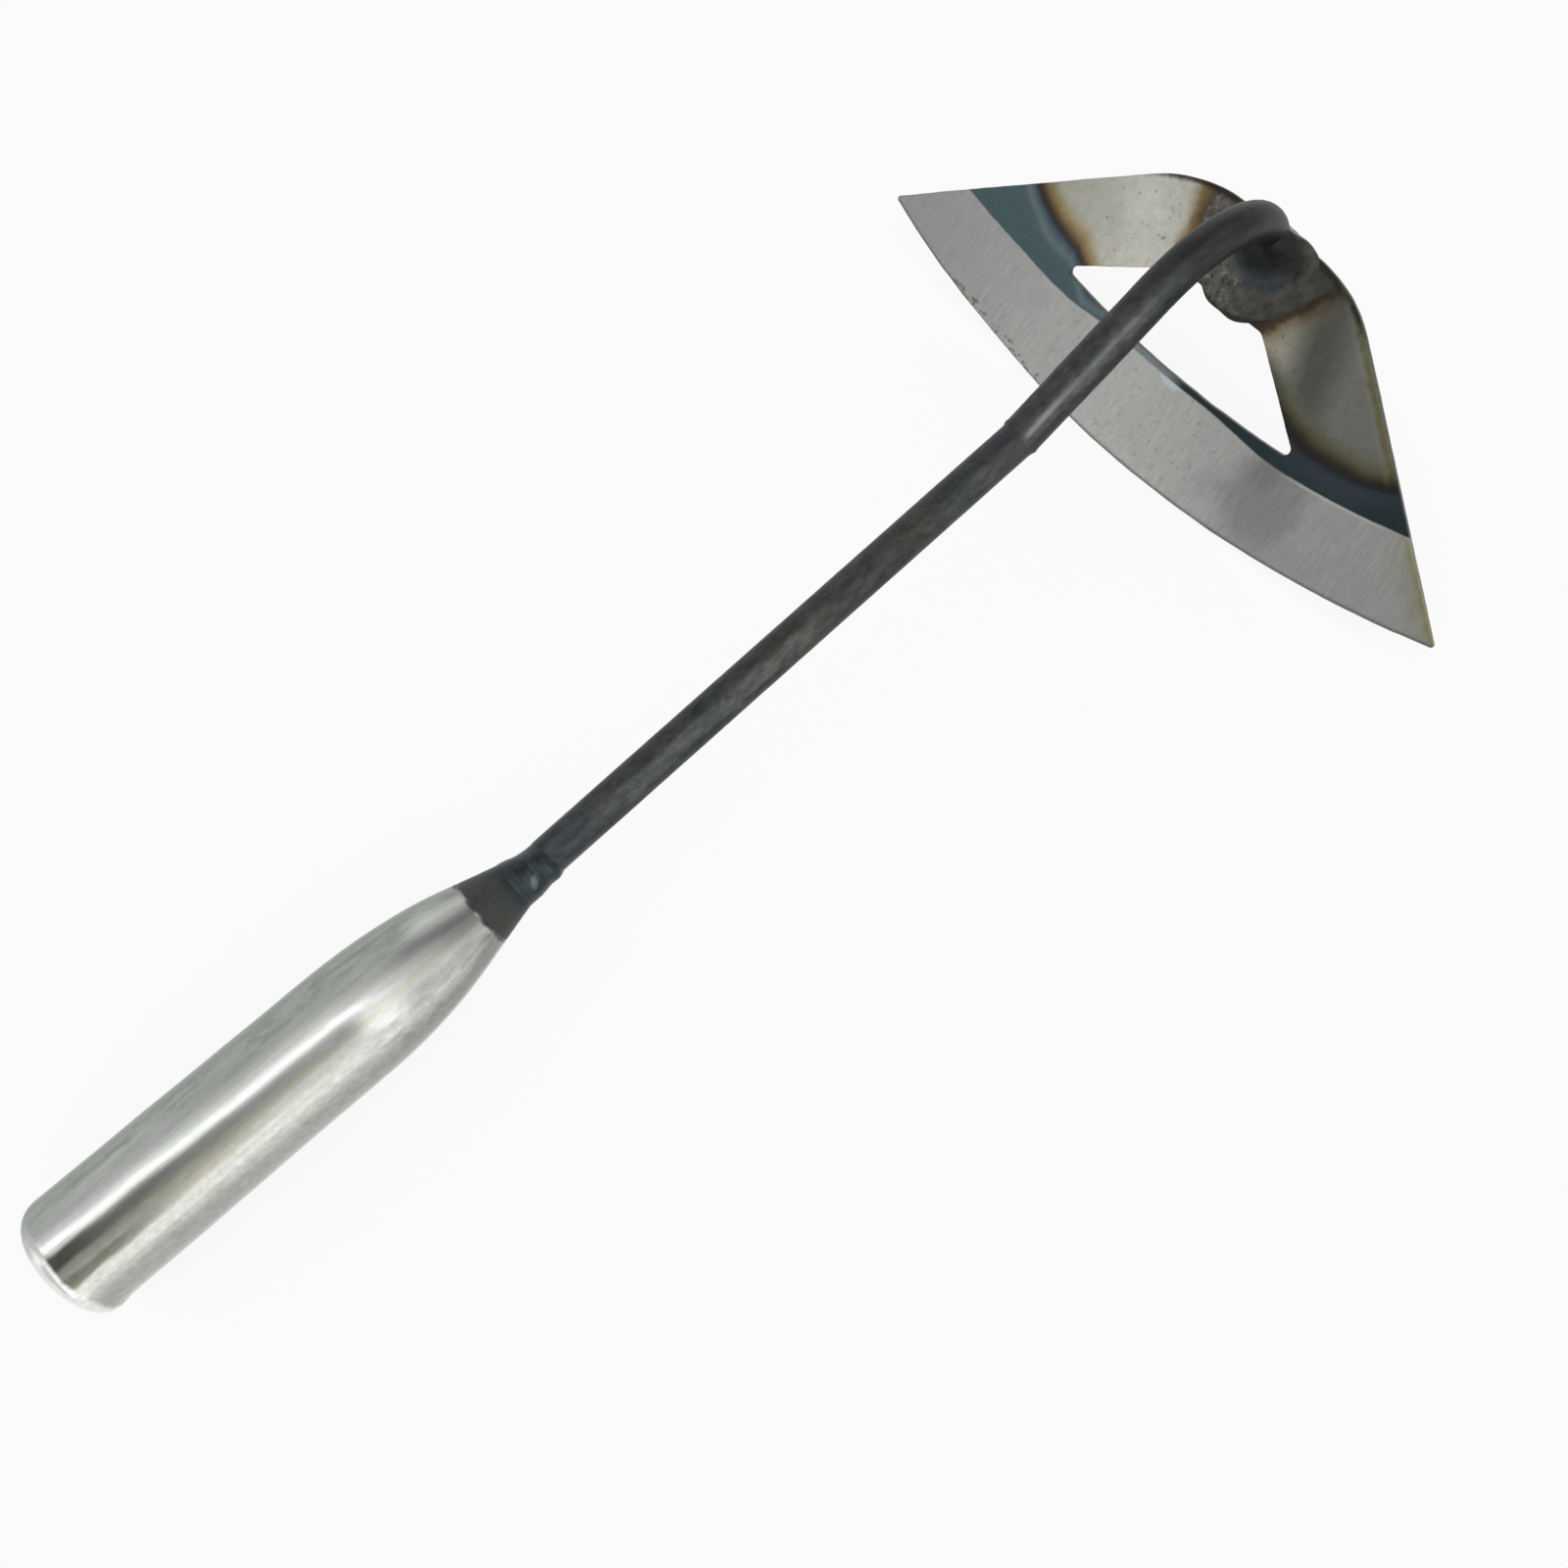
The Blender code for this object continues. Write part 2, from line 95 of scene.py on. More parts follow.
# Upper border of the ground strip, in millimetres: a skewed arc that swells a little in the middle
BORDER_MIDDLE = 6.65
BORDER_TILT = -0.004
BORDER_CURVE = 0.00161
BORDER_SKEW = 4.6e-6
BORDER_SWELL = 2.4
BORDER_SWELL_HALF_WIDTH = 27
GRIND_SLOPE = 0.0885

# Half the flat of the blade's top, and the height the strokes fan out from, in millimetres
FLAT_TOP = 10.5
STROKE_CENTRE = 363

BLUED_STEEL = (0.04, 0.051, 0.056)

# Weld at the apex
MOUND_RADIUS = 0.0105
MOUND_SIDE = 0.0012
MOUND_PEAK = 0.013
MOUND_CURVE = 1.8
PAD_HEIGHT = 0.0006
PAD_HALF_WIDTH = 0.0124
PAD_FOOT = 0.0191
PAD_SLANT = 0.0001
PAD_HEAD = 0.004
PAD_SQUARENESS = 2.8

# How much of the floor's look is plain white light, the rest being lit and shadowed
FLOOR_GLOW = 0.88

# Camera, fitted to the photograph
CAMERA_PLACE = (-0.07317, -0.09022, 0.27226)
CAMERA_TURN = (21.848, -1.504, -41.657)
CAMERA_LENS = 29.25
CAMERA_SHIFT = (-0.0006, 0.0003)

SIDEWAYS = Vector((0, 1, 0))


def axes(origin, x_axis, y_axis):
    """Frame with its origin and its first two axes given."""
    columns = Matrix((x_axis, y_axis, x_axis.cross(y_axis))).transposed()
    return Matrix.Translation(origin) @ columns.to_4x4()


def stated_face(name):
    """Point and outward direction of a flat face that the record states."""
    mount = next(mount for mount in frame["record"]["mounts"] if mount["name"] == name)
    return Vector(mount["pos_m"]), Vector(mount["axis"]).normalized()


butt_point, butt_out = stated_face("butt_face")
back_point, back_out = stated_face("blade_back")

# Handle: X from the neck to the butt. Shaft: X from the neck to the blade
HANDLE = axes(butt_point - butt_out * HANDLE_LENGTH, butt_out, SIDEWAYS)
shaft_along = Matrix.Rotation(-HANDLE_TURN, 3, "Y") @ -butt_out
SHAFT = axes(HANDLE.translation, shaft_along, SIDEWAYS)
shaft_heading = atan2(shaft_along.z, shaft_along.x)

# Blade: X is u, Y is h, Z is n
blade_up = -back_out.cross(-SIDEWAYS)
BLADE = axes(
    back_point - blade_up * BACK_POINT_HEIGHT - back_out * BLADE_THICKNESS, -SIDEWAYS, blade_up
)


def smoothstep(value, low, high):
    share = min(max((value - low) / (high - low), 0), 1)
    return share * share * (3 - 2 * share)


def uneven(x, y, z, size, seed):
    """Smooth noise from about -1 to 1 whose lumps are about size across."""
    return noise.noise(Vector((x, y, z)) / size + Vector((13.7, -7.1, 3.3)) * seed)


# Materials


class Value:
    """One socket of a node tree. Its operators add Math nodes, and node adds any other node."""

    def __init__(self, tree, socket):
        self.tree = tree
        self.socket = socket

    def node(self, kind, settings, inputs, output=0):
        made = self.tree.nodes.new(kind)
        for name, setting in settings.items():
            if name == "stops":
                fill_ramp(made.color_ramp, setting)
            else:
                setattr(made, name, setting)
        for key, given in inputs.items():
            socket = pick(made.inputs, key)
            if isinstance(given, Value):
                self.tree.links.new(given.socket, socket)
            else:
                socket.default_value = given
        return Value(self.tree, pick(made.outputs, output))

    def math(self, operation, *others):
        return self.node("ShaderNodeMath", {"operation": operation}, dict(enumerate((self, *others))))

    def __rsub__(self, other):
        return self.node("ShaderNodeMath", {"operation": "SUBTRACT"}, {0: other, 1: self})

    __add__ = __radd__ = partialmethod(math, "ADD")
    __sub__ = partialmethod(math, "SUBTRACT")
    __mul__ = __rmul__ = partialmethod(math, "MULTIPLY")
    __truediv__ = partialmethod(math, "DIVIDE")
    __pow__ = partialmethod(math, "POWER")


def pick(sockets, key):
    """A socket by its number or its identifier."""
    if isinstance(key, int):
        return sockets[key]
    return next(socket for socket in sockets if socket.identifier == key)


def fill_ramp(ramp, stops):
    while len(ramp.elements) < len(stops):
        ramp.elements.new(1)
    for element, (position, colour) in zip(ramp.elements, stops):
        element.position = position
        element.color = (*colour, 1)


def smooth(value, low, high):
    """0 at low and 1 at high, with soft ends."""
    settings = {"interpolation_type": "SMOOTHSTEP"}
    inputs = {"Value": value, "From Min": low, "From Max": high}
    return value.node("ShaderNodeMapRange", settings, inputs)


def mix_value(factor, first, second):
    inputs = {"Factor_Float": factor, "A_Float": first, "B_Float": second}
    return factor.node("ShaderNodeMix", {"data_type": "FLOAT"}, inputs, "Result_Float")


def mix_colour(factor, first, second, blend="MIX"):
    def whole(colour):
        return colour if isinstance(colour, Value) else (*colour, 1)

    settings = {"data_type": "RGBA", "blend_type": blend, "clamp_factor": True}
    inputs = {"Factor_Float": factor, "A_Color": whole(first), "B_Color": whole(second)}
    return factor.node("ShaderNodeMix", settings, inputs, "Result_Color")


def shade(colour, brightness):
    """A colour made darker or brighter by a value near 1."""
    inputs = {"Vector": colour, "Scale": brightness}
    return colour.node("ShaderNodeVectorMath", {"operation": "SCALE"}, inputs)


def ramp(value, stops):
    """Colour for a value from 0 to 1."""
    return value.node("ShaderNodeValToRGB", {"stops": stops}, {"Fac": value}, "Color")


def ramp_over(value, low, high, stops):
    """Colour for a value whose stops are given in its own units, from low to high."""
    share = (value - low) / (high - low)
    return ramp(share, [((place - low) / (high - low), colour) for place, colour in stops])


def greys(*levels):
    """Stops from (place, level) pairs."""
    return [(place, (level, level, level)) for place, level in levels]


def tones(*stops):
    """Stops from (place, red, green, blue), each colour from 0 to 255 as it shows on a screen."""

    def light(part):
        share = part / 255
        return share / 12.92 if share < 0.04 else ((share + 0.055) / 1.055) ** 2.4

    return [(place, tuple(light(part) for part in parts)) for place, *parts in stops]


def vector(x, y, z):
    maker = next(item for item in (x, y, z) if isinstance(item, Value))
    return maker.node("ShaderNodeCombineXYZ", {}, {"X": x, "Y": y, "Z": z})


def cloudy(place, scale, detail=2, roughness=0.5, distortion=0):
    """Noise from 0 to 1, about 0.5, with lumps of about 1 / scale."""
    inputs = {
        "Vector": place,
        "Scale": scale,
        "Detail": detail,
        "Roughness": roughness,
        "Distortion": distortion,
    }
    return place.node("ShaderNodeTexNoise", {}, inputs, "Fac")


def frayed(value, cloud, width):
    """A value pushed up and down by a cloudy one, so that borders drawn in it are ragged."""
    return value + (cloud - 0.5) * width


def band(value, low, low_full, high_full, high):
    """1 between the two full limits, falling softly to 0 at the outer ones."""
    return smooth(value, low, low_full) * smooth(value, high, high_full)


def blob(u, h, middle_u, middle_h, half_width, half_height):
    """1 in the middle of a soft oval spot, 0 at its rim."""
    side = (u - middle_u) * (1 / half_width)
    rise = (h - middle_h) * (1 / half_height)
    return smooth(side * side + rise * rise, 1, 0.1)


def layered(colour, *layers):
    """A colour under layers given as (how much of it shows, colour), the last one on top."""
    for share, layer in layers:
        colour = mix_colour(share, colour, layer)
    return colour


def local(place, matrix):
    """The three coordinates of a place in a frame, in millimetres."""
    found = []
    for column in range(3):
        axis = matrix.to_3x3().col[column]
        inputs = {"Vector": place, "Vector_001": axis}
        along = place.node("ShaderNodeVectorMath", {"operation": "DOT_PRODUCT"}, inputs, "Value")
        found.append((along - matrix.translation.dot(axis)) * MM)
    return found


def metal(name, paint):
    """A metal whose paint turns the object's coordinates into colour, finish and relief in mm."""
    material = bpy.data.materials.new(name)
    material.use_nodes = True
    tree = material.node_tree
    shader = tree.nodes["Principled BSDF"]
    place = Value(tree, tree.nodes.new("ShaderNodeTexCoord").outputs["Object"])
    colour, roughness, metallic, relief = paint(place)
    bump = relief.node("ShaderNodeBump", {}, {"Height": relief, "Distance": 0.001, "Strength": 1})
    finish = {"Base Color": colour, "Roughness": roughness, "Metallic": metallic, "Normal": bump}
    for socket, given in finish.items():
        if isinstance(given, Value):
            tree.links.new(given.socket, shader.inputs[socket])
        else:
            shader.inputs[socket].default_value = given
    return material


def paint_bright_tube(place):
    """Drawn tube: fine lines along it, olive streaks, a cream band that is a painted reflection, and a
    grey-green film on one flank deepened with painted shade.
    """
    along, side, rise = local(place, HANDLE)
    radius = (side * side + rise * rise).math("SQRT").math("MAXIMUM", 5)
    across = side / radius * (HANDLE_RADIUS * MM)
    upright = rise / radius * (HANDLE_RADIUS * MM)

    def drawn_out(stretch, scale, detail, roughness=0.6):
        return cloudy(vector(along * stretch, across, upright), scale, detail, roughness)

    lines = drawn_out(0.012, 3.2, 4)
    streaks = drawn_out(0.03, 0.42, 3, 0.55)
    clouds = drawn_out(0.16, 0.2, 3)
    stains = drawn_out(0.35, 0.4, 4)
    mottle = drawn_out(0.7, 0.9, 4)
    olive = band(across, -9.2, -7.4, -5.2, -3.2) * smooth(streaks, 0.32, 0.6)
    # A cream band along the tube, a painted reflection
    cream_reflection = band(across, -11.4, -10.2, -9.2, -7.8) * smooth(frayed(streaks, lines, 0.4), 0.36, 0.66)
    # A grey-green film on one flank, partly real and partly painted shade, darker still at its edge
    film_start = smooth(along, 70, 100) * 2.5 + smooth(along, 34, 24) * 4
    film_and_shade = smooth(frayed(across, clouds, 9) - film_start, -0.5, 4.5)
    dull_shade = smooth(frayed(across, stains, 3), 5.2, 9.6)
    # Painted shade along the low flank, darker near the mouth
    low_side = smooth(frayed(across, stains, 2.4) - smooth(along, 26, 18) * 1.4, -10.3, -12.3)
    low_grey = mix_colour(smooth(along, 70, 20), (0.35, 0.36, 0.33), (0.23, 0.24, 0.215))
    smudges = smooth(stains, 0.46, 0.66) * smooth(across, -4.5, -8.5) * smooth(along, 66, 34)

    # Two dark stripes that fade away from the butt, painted reflections, and a painted highlight at its
    # rim
    drift = frayed(across, stains, 1.4)
    first = band(drift, -5.2, -4.3, -2.5, -1.6) * smooth(along, 76, 112)
    second = band(drift, -8.8, -8, -7.1, -6.2)
    second = second * smooth(along, 86, 108) * smooth(along, 116, 113.5)
    rim_highlight = band(frayed(along, stains, 1.5), 113, 114.2, 116.6, 117.4) * smooth(across, 2, -1.5)

    # Underside: cleaner, with long darker streaks
    below = smooth(upright, -0.5, 2.5)
    clean = mix_colour(
        smooth(frayed(streaks, clouds, 0.5), 0.36, 0.62), (0.27, 0.28, 0.265), (0.5, 0.51, 0.49)
    )
    colour = layered(
        mix_colour(smooth(streaks, 0.34, 0.66), (0.49, 0.51, 0.49), (0.57, 0.58, 0.55)),
        (olive * 0.7, (0.4, 0.385, 0.3)),
        (cream_reflection * 0.6, (0.66, 0.645, 0.59)),
        (film_and_shade * (0.6 + smooth(stains, 0.42, 0.6) * 0.4), (0.305, 0.34, 0.305)),
        (dull_shade * 0.85, (0.215, 0.238, 0.214)),
        (low_side * 0.85, low_grey),
        (smudges * 0.45, (0.3, 0.305, 0.275)),
        (first * (0.55 + smooth(along, 100, 112) * 0.33), (0.12, 0.122, 0.1)),
        (second * 0.87, (0.15, 0.15, 0.115)),
        (below * 0.8, clean),
        (rim_highlight * 0.85, (0.86, 0.86, 0.84)),
    )
    sides = smooth(across.math("ABSOLUTE"), 5, 10.5)
    colour = shade(colour, 0.93 + lines * 0.14 + (mottle - 0.5) * (0.2 + sides * 0.5))

    # Plain scratched end face, and a dark mouth against the collar
    scratches = cloudy(vector(side, rise * 0.2, 0), 1.4, 4, 0.6)
    end = mix_colour(smooth(scratches, 0.36, 0.64), (0.5, 0.505, 0.49), (0.66, 0.66, 0.64))
    mouth = smooth(frayed(frayed(along, clouds, 2.6), stains, 0.8), 17.7, 16.9)
    colour = layered(colour, (smooth(along, 116.3, 116.9), end), (mouth, (0.1, 0.104, 0.1)))
    roughness = 0.1 + streaks * 0.08 + film_and_shade * 0.16 + smooth(stains, 0.56, 0.72) * 0.08 + mouth * 0.15
    return colour, roughness, 1, lines * 0.003 + streaks * 0.016 + clouds * 0.04


def paint_ground_collar(place):
    """Dark steel with soft rings left by the grinder, brownish patches and a blued tip."""
    along, side, rise = local(place, HANDLE)
    rings = cloudy(vector(along, side * 0.06, rise * 0.06), 0.9, 3, 0.65)
    fine = cloudy(vector(along, side * 0.03, rise * 0.03), 5, 3, 0.6)
    patches = cloudy(vector(along * 0.5, side, rise), 0.3, 3)
    stops = [
        (0.3, (0.055, 0.058, 0.058)),
        (0.47, (0.078, 0.082, 0.083)),
        (0.56, (0.074, 0.074, 0.07)),
        (0.7, (0.1, 0.1, 0.095)),
    ]
    blued = smooth(frayed(along, patches, 3.4) + side * 0.1, 11.4, 8.6)
    colour = layered(
        ramp(rings * 0.75 + fine * 0.25, stops),
        (smooth(patches, 0.48, 0.66) * 0.7, (0.08, 0.073, 0.056)),
        (smooth(patches, 0.46, 0.3) * 0.7, (0.052, 0.064, 0.066)),
        (blued, BLUED_STEEL),
    )
    return colour, 0.42 + fine * 0.2 - blued * 0.1, 0.9, rings * 0.02 + fine * 0.008


def paint_blue_weld(place):
    """Weld metal cooled blue-black, with grey flecks and one painted glint, blending into collar and
    rod.
    """
    along, side, rise = local(place, HANDLE)
    spot = vector(along, side, rise)
    broad = cloudy(spot, 0.24, 2)
    flecks = cloudy(spot, 1.1, 3, 0.55)
    # A soft painted glint on the bead
    painted_glint = blob(frayed(along + side * 0.5, broad, 2), side, 3, -3.6, 1.3, 1.4) * smooth(rise, 1, -1)
    colour = layered(
        mix_colour(smooth(broad, 0.36, 0.66), (0.032, 0.042, 0.047), (0.056, 0.072, 0.077)),
        (smooth(flecks, 0.58, 0.76) * 0.45, (0.12, 0.135, 0.14)),
        (smooth(flecks, 0.4, 0.26) * 0.5, (0.022, 0.024, 0.025)),
        (smooth(along + side * 0.3, 3.6, -0.8) * 0.75, (0.046, 0.058, 0.063)),
        (smooth(frayed(along, broad, 2), 5.8, 8.4), BLUED_STEEL),
        (painted_glint * painted_glint * 0.5, (0.21, 0.235, 0.24)),
    )
    return colour, 0.24 + broad * 0.26, 0.9, flecks * 0.03 + broad * 0.06


def paint_rods(place):
    """Mill scale on the rods: dark grey, blue-grey and brown patches, rubbed pale in small places."""
    along, side, rise = local(place, SHAFT)
    lengthwise = vector(along * 0.45, side, rise)
    broad = cloudy(lengthwise, 0.16, 3, 0.55)
    warm = cloudy(lengthwise, 0.3, 3, 0.5, 0.6)
    rubbed = cloudy(lengthwise, 0.5, 4, 0.62)
    grain = cloudy(vector(along, side, rise), 3, 4, 0.65)
    mottle = cloudy(lengthwise, 0.62, 3, 0.6)
    colour = layered(
        mix_colour(smooth(broad, 0.36, 0.64), (0.084, 0.084, 0.077), (0.066, 0.073, 0.076)),
        (smooth(warm, 0.54, 0.72) * 0.5, (0.088, 0.085, 0.073)),
        (smooth(rubbed, 0.54, 0.74) * 0.4, (0.12, 0.122, 0.116)),
        (smooth(rubbed, 0.46, 0.32) * 0.45, (0.034, 0.034, 0.032)),
    )
    patchy = smooth(mottle, 0.3, 0.7) * (1 - smooth(along, 158, 172) * 0.6)
    colour = shade(colour, 0.42 + grain * 0.66 + patchy * 0.5)

    # Painted highlight along one flank, and painted shade over the bend to the blade
    flank_highlight = ramp_over(along, 0, 200, greys(
        (4, 0.15), (12, 0.25), (26, 0.62), (64, 0.6), (82, 0.1),
        (104, 0.1), (118, 0.3), (134, 0.6), (160, 0.6), (185, 0.4),
    ))
    colour = shade(colour, 0.72 + band(frayed(side, warm, 1.6), -4.1, -3.3, -1.6, -0.2) * flank_highlight)
    crown_shade = band(side, -4.5, -3, -0.8, 1.2) * smooth(along, 186, 198)
    colour = shade(colour, 1 - smooth(along, 168, 184) * 0.3 - crown_shade * 0.36)

    # Heat has blued the neck end and darkened both sides of the butt weld
    blued = smooth(along, 17, 5) * (0.8 + smooth(along, 6, 2) * 0.2)
    blue = mix_colour(smooth(mottle, 0.34, 0.66), (0.034, 0.043, 0.047), (0.056, 0.07, 0.076))

    # Painted highlight streak on top, from the butt weld along the next rod
    above_axis = rise - (along - 134).math("MAXIMUM", 0) * tan(JOINT_TURN)
    highlight_streak = band(frayed(side, warm, 0.5), -2.95, -2.35, -2.05, -1.3) * smooth(above_axis, 1.2, 2.6)
    highlight_streak = highlight_streak * smooth(along, 132.2, 135) * smooth(along, 176, 158)
    highlight_streak = highlight_streak * (0.45 + smooth(along, 150, 139) * 0.55)
    colour = layered(
        colour,
        (blued, blue),
        (band(along, 120, 129, 134, 139) * 0.55, (0.05, 0.055, 0.065)),
        (highlight_streak * (0.5 + mottle * 0.6), (0.24, 0.25, 0.24)),
    )
    roughness = 0.42 + grain * 0.16 - highlight_streak * 0.12 - blued * 0.12
    relief = grain * 0.035 + smooth(rubbed, 0.46, 0.34) * 0.03 + broad * 0.05
    return colour, roughness, 0.85, relief


def strip_border(u, exponential):
    """Height of the strip's upper border at u, both in millimetres, for numbers and for sockets."""
    square = u * u
    swell = exponential(square * square * (-1 / BORDER_SWELL_HALF_WIDTH**4)) * BORDER_SWELL
    return square * u * BORDER_SKEW + square * BORDER_CURVE + u * BORDER_TILT + BORDER_MIDDLE + swell


def paint_strip(u, h, wobble, clouds, pits):
    """Ground strip: strokes square to its border, painted dark reflections in a blotch and a smear, and
    a painted bluish highlight.
    """
    turn = u.math("ARCTAN2", STROKE_CENTRE - h) * STROKE_CENTRE
    strokes = vector(turn + wobble * 2, h * 0.045, 0)
    lines = cloudy(strokes, 2.6, 3, 0.6)
    deep = cloudy(strokes, 0.9, 2, 0.5)
    strip = layered(
        mix_colour(smooth(lines, 0.3, 0.7), (0.44, 0.44, 0.425), (0.535, 0.533, 0.518)),
        (smooth(deep, 0.57, 0.75) * 0.4, (0.58, 0.58, 0.57)),
        (smooth(clouds, 0.54, 0.74) * 0.35, (0.38, 0.385, 0.37)),
    )
    strip = shade(strip, ramp_over(frayed(u, clouds, 14), -95, 95, greys(
        (-90, 0.6), (-60, 0.66), (-45, 0.7), (-36, 0.76), (-27, 0.76), (-14, 0.85),
        (10, 0.85), (24, 0.8), (32, 0.71), (47, 0.68), (60, 0.64), (90, 0.6),
    )))
    # Painted dark reflections: a broad blotch and a small smear
    dark_reflection_blotch = blob(frayed(u, wobble, 7), h, 38.5, 2, 13, 17)
    dark_reflection_smear = blob(u, frayed(h, wobble, 5), 34.5, 7, 5, 6)
    strip = shade(strip, 1 - dark_reflection_blotch * 0.27 - dark_reflection_smear * 0.12)
    # A painted bluish highlight in the middle
    bluish_highlight = blob(u, h, 2, 8.6, 4.2, 1.5) * smooth(lines, 0.3, 0.6)
    strip = layered(strip, (bluish_highlight * 0.7, (0.56, 0.63, 0.69)), (pits * 0.45, (0.2, 0.195, 0.18)))
    return strip, lines, deep


def paint_arms(u, h, right_side, clouds, grain, pits):
    """Bare arms: cream-grey on the left; on the right much darker, a painted dark reflection that is
    darkest along a diagonal.
    """
    near_weld = smooth(u.math("ABSOLUTE"), 60, 24)
    left = layered(
        mix_colour(near_weld, (0.33, 0.328, 0.285), (0.54, 0.533, 0.475)),
        (smooth(clouds, 0.4, 0.64) * 0.4, (0.33, 0.327, 0.29)),
        (pits * 0.6, (0.15, 0.14, 0.115)),
        (smooth(grain, 0.6, 0.78) * 0.35, (0.25, 0.243, 0.21)),
    )
    # Right arm: a painted dark reflection, darkest along a diagonal
    diagonal = u - 26.5 + (h - 34.5) * 0.43
    right = ramp_over(frayed(diagonal, clouds, 5), -14, 16, [
        (-14, (0.36, 0.34, 0.27)),
        (-9, (0.25, 0.245, 0.2)),
        (-5.5, (0.135, 0.137, 0.115)),
        (-2, (0.074, 0.077, 0.065)),
        (2, (0.072, 0.075, 0.066)),
        (5.5, (0.1, 0.103, 0.092)),
        (9, (0.13, 0.132, 0.118)),
        (14, (0.122, 0.124, 0.11)),
    ])
    right = layered(
        shade(right, 1.2),
        (smooth(grain, 0.5, 0.75) * 0.25, (0.19, 0.19, 0.172)),
        (pits * 0.6, (0.09, 0.085, 0.07)),
    )
    return mix_colour(right_side, left, right)


def paint_tints(u, above, right_side, wobble):
    """Heat colours above the strip, and how far a point lies above their dark line."""
    away = u.math("ABSOLUTE")
    outer_left = (away - 41).math("MAXIMUM", 0)
    outer_right = (u - 50).math("MAXIMUM", 0)
    inner_right = (40 - u).math("MAXIMUM", 0)
    inner_left = (38 - away).math("MAXIMUM", 0).math("MINIMUM", 9)
    left_top = outer_left * outer_left * 0.017 - inner_left * 0.6 + 10.2
    right_top = outer_right * outer_right * 0.02 + inner_right * 0.25 + 7.3
    past = frayed(above - mix_value(right_side, left_top, right_top), wobble, 2.2)
    left = ramp_over(past, -7, 8, tones(
        (-7, 69, 88, 92), (-4.8, 72, 91, 95), (-3.3, 95, 109, 113), (-1.5, 70, 84, 91),
        (-0.7, 52, 60, 67), (0, 58, 54, 51), (1, 92, 79, 57), (2, 124, 108, 77),
        (3, 145, 130, 96), (4, 158, 147, 117), (5.2, 163, 157, 134), (7.5, 166, 163, 147),
    ))
    # On the right the heat colours are darker, a painted dark reflection
    right = ramp_over(past, -7, 8, tones(
        (-7, 37, 49, 53), (-4.8, 43, 54, 58), (-3.3, 48, 55, 62), (-2, 43, 50, 56),
        (-0.8, 29, 32, 34), (0, 40, 39, 33), (1, 58, 56, 45), (2, 76, 74, 57),
        (3, 89, 88, 72), (4, 95, 95, 81), (6, 99, 99, 88),
    ))
    left = shade(left, 1 - smooth(u, -41, -57) * smooth(past, -1.5, 1) * 0.3)
    right = shade(right, 1 - smooth(u, 52, 62) * 0.22)
    tints = mix_colour(right_side, left, right)
    under_opening = band(u, -18, -12, 0, 6) * smooth(past, -1, -3)
    return mix_colour(under_opening * 0.8, tints, (0.2, 0.23, 0.245)), past


def crust_colour(u, h, spot):
    """Scale round the apex weld: grey-brown, calmer on the right and darker there as a painted dark
    reflection, dark at its foot.
    """
    broad = cloudy(spot, 0.34, 3)
    grain = cloudy(spot, 0.7, 4, 0.55, 0.4)
    patches = smooth(broad, 0.36, 0.64)
    # Calmer and darker on the right, a painted dark reflection
    calm = smooth(frayed(u, broad, 8), -3, 9) * smooth(h, 26, 32)
    foot = frayed(h - 28.2 - u * u * 0.028, grain, 1.2)
    return layered(
        mix_colour(patches, (0.076, 0.073, 0.067), (0.134, 0.127, 0.116)),
        (smooth(grain, 0.55, 0.7) * 0.75, (0.28, 0.272, 0.245)),
        (smooth(grain, 0.44, 0.33) * 0.85, (0.024, 0.022, 0.021)),
        (calm * 0.85, mix_colour(patches, (0.052, 0.052, 0.046), (0.072, 0.071, 0.063))),
        (smooth(foot, 1.3, 0.2) * 0.8, (0.022, 0.021, 0.019)),
    )


def weld_heat(face, u, h, right_side, spot, mottle):
    """Scale and heat tints round the weld laid over the face, and how much of a place is scale."""
    away = u.math("ABSOLUTE")
    right = (u - 12 - (h - 31) * 0.5) * 0.894
    left = -15 - u - (h - 41) * 0.3
    outside = frayed(right.math("MAXIMUM", left), cloudy(spot, 0.22, 4, 0.55), 4)
    ring = ramp_over(outside, -1, 7, tones(
        (-0.9, 66, 61, 56), (0.4, 84, 69, 55), (2.2, 116, 97, 69), (4.2, 144, 130, 103),
        (6.8, 176, 171, 155),
    ))
    # Darker on the right and higher up, a painted dark reflection
    ring = shade(ring, 1 - right_side * (0.15 + smooth(h, 33, 42) * 0.4))
    high = smooth(h, 17, 23)
    fade = 1 - right_side * smooth(outside, 1, 2.4) * 0.4
    crust = smooth(outside, 1, -1.6) * high

    # Painted dark reflection under the top edge on the right, and a dark rim along it
    shoulder = (away - FLAT_TOP).math("MAXIMUM", 0)
    below_top = BLADE_TOP * MM - h - shoulder * shoulder / (2 * SHOULDER_ROUND * MM)
    top_dark_reflection = smooth(h, 42.5, 47.5) * smooth(u, 31, 18) * smooth(u, 10, 16)
    dark_rim = smooth(frayed(below_top, mottle, 1.4), 1.7, 0.5) * smooth(away, 36, 27)
    face = layered(
        face,
        (smooth(outside, 7, 2) * high * fade, ring),
        (crust, crust_colour(u, h, spot)),
        (top_dark_reflection * 0.7, (0.05, 0.051, 0.038)),
        (dark_rim * 0.9, (0.02, 0.02, 0.016)),
    )
    return face, crust


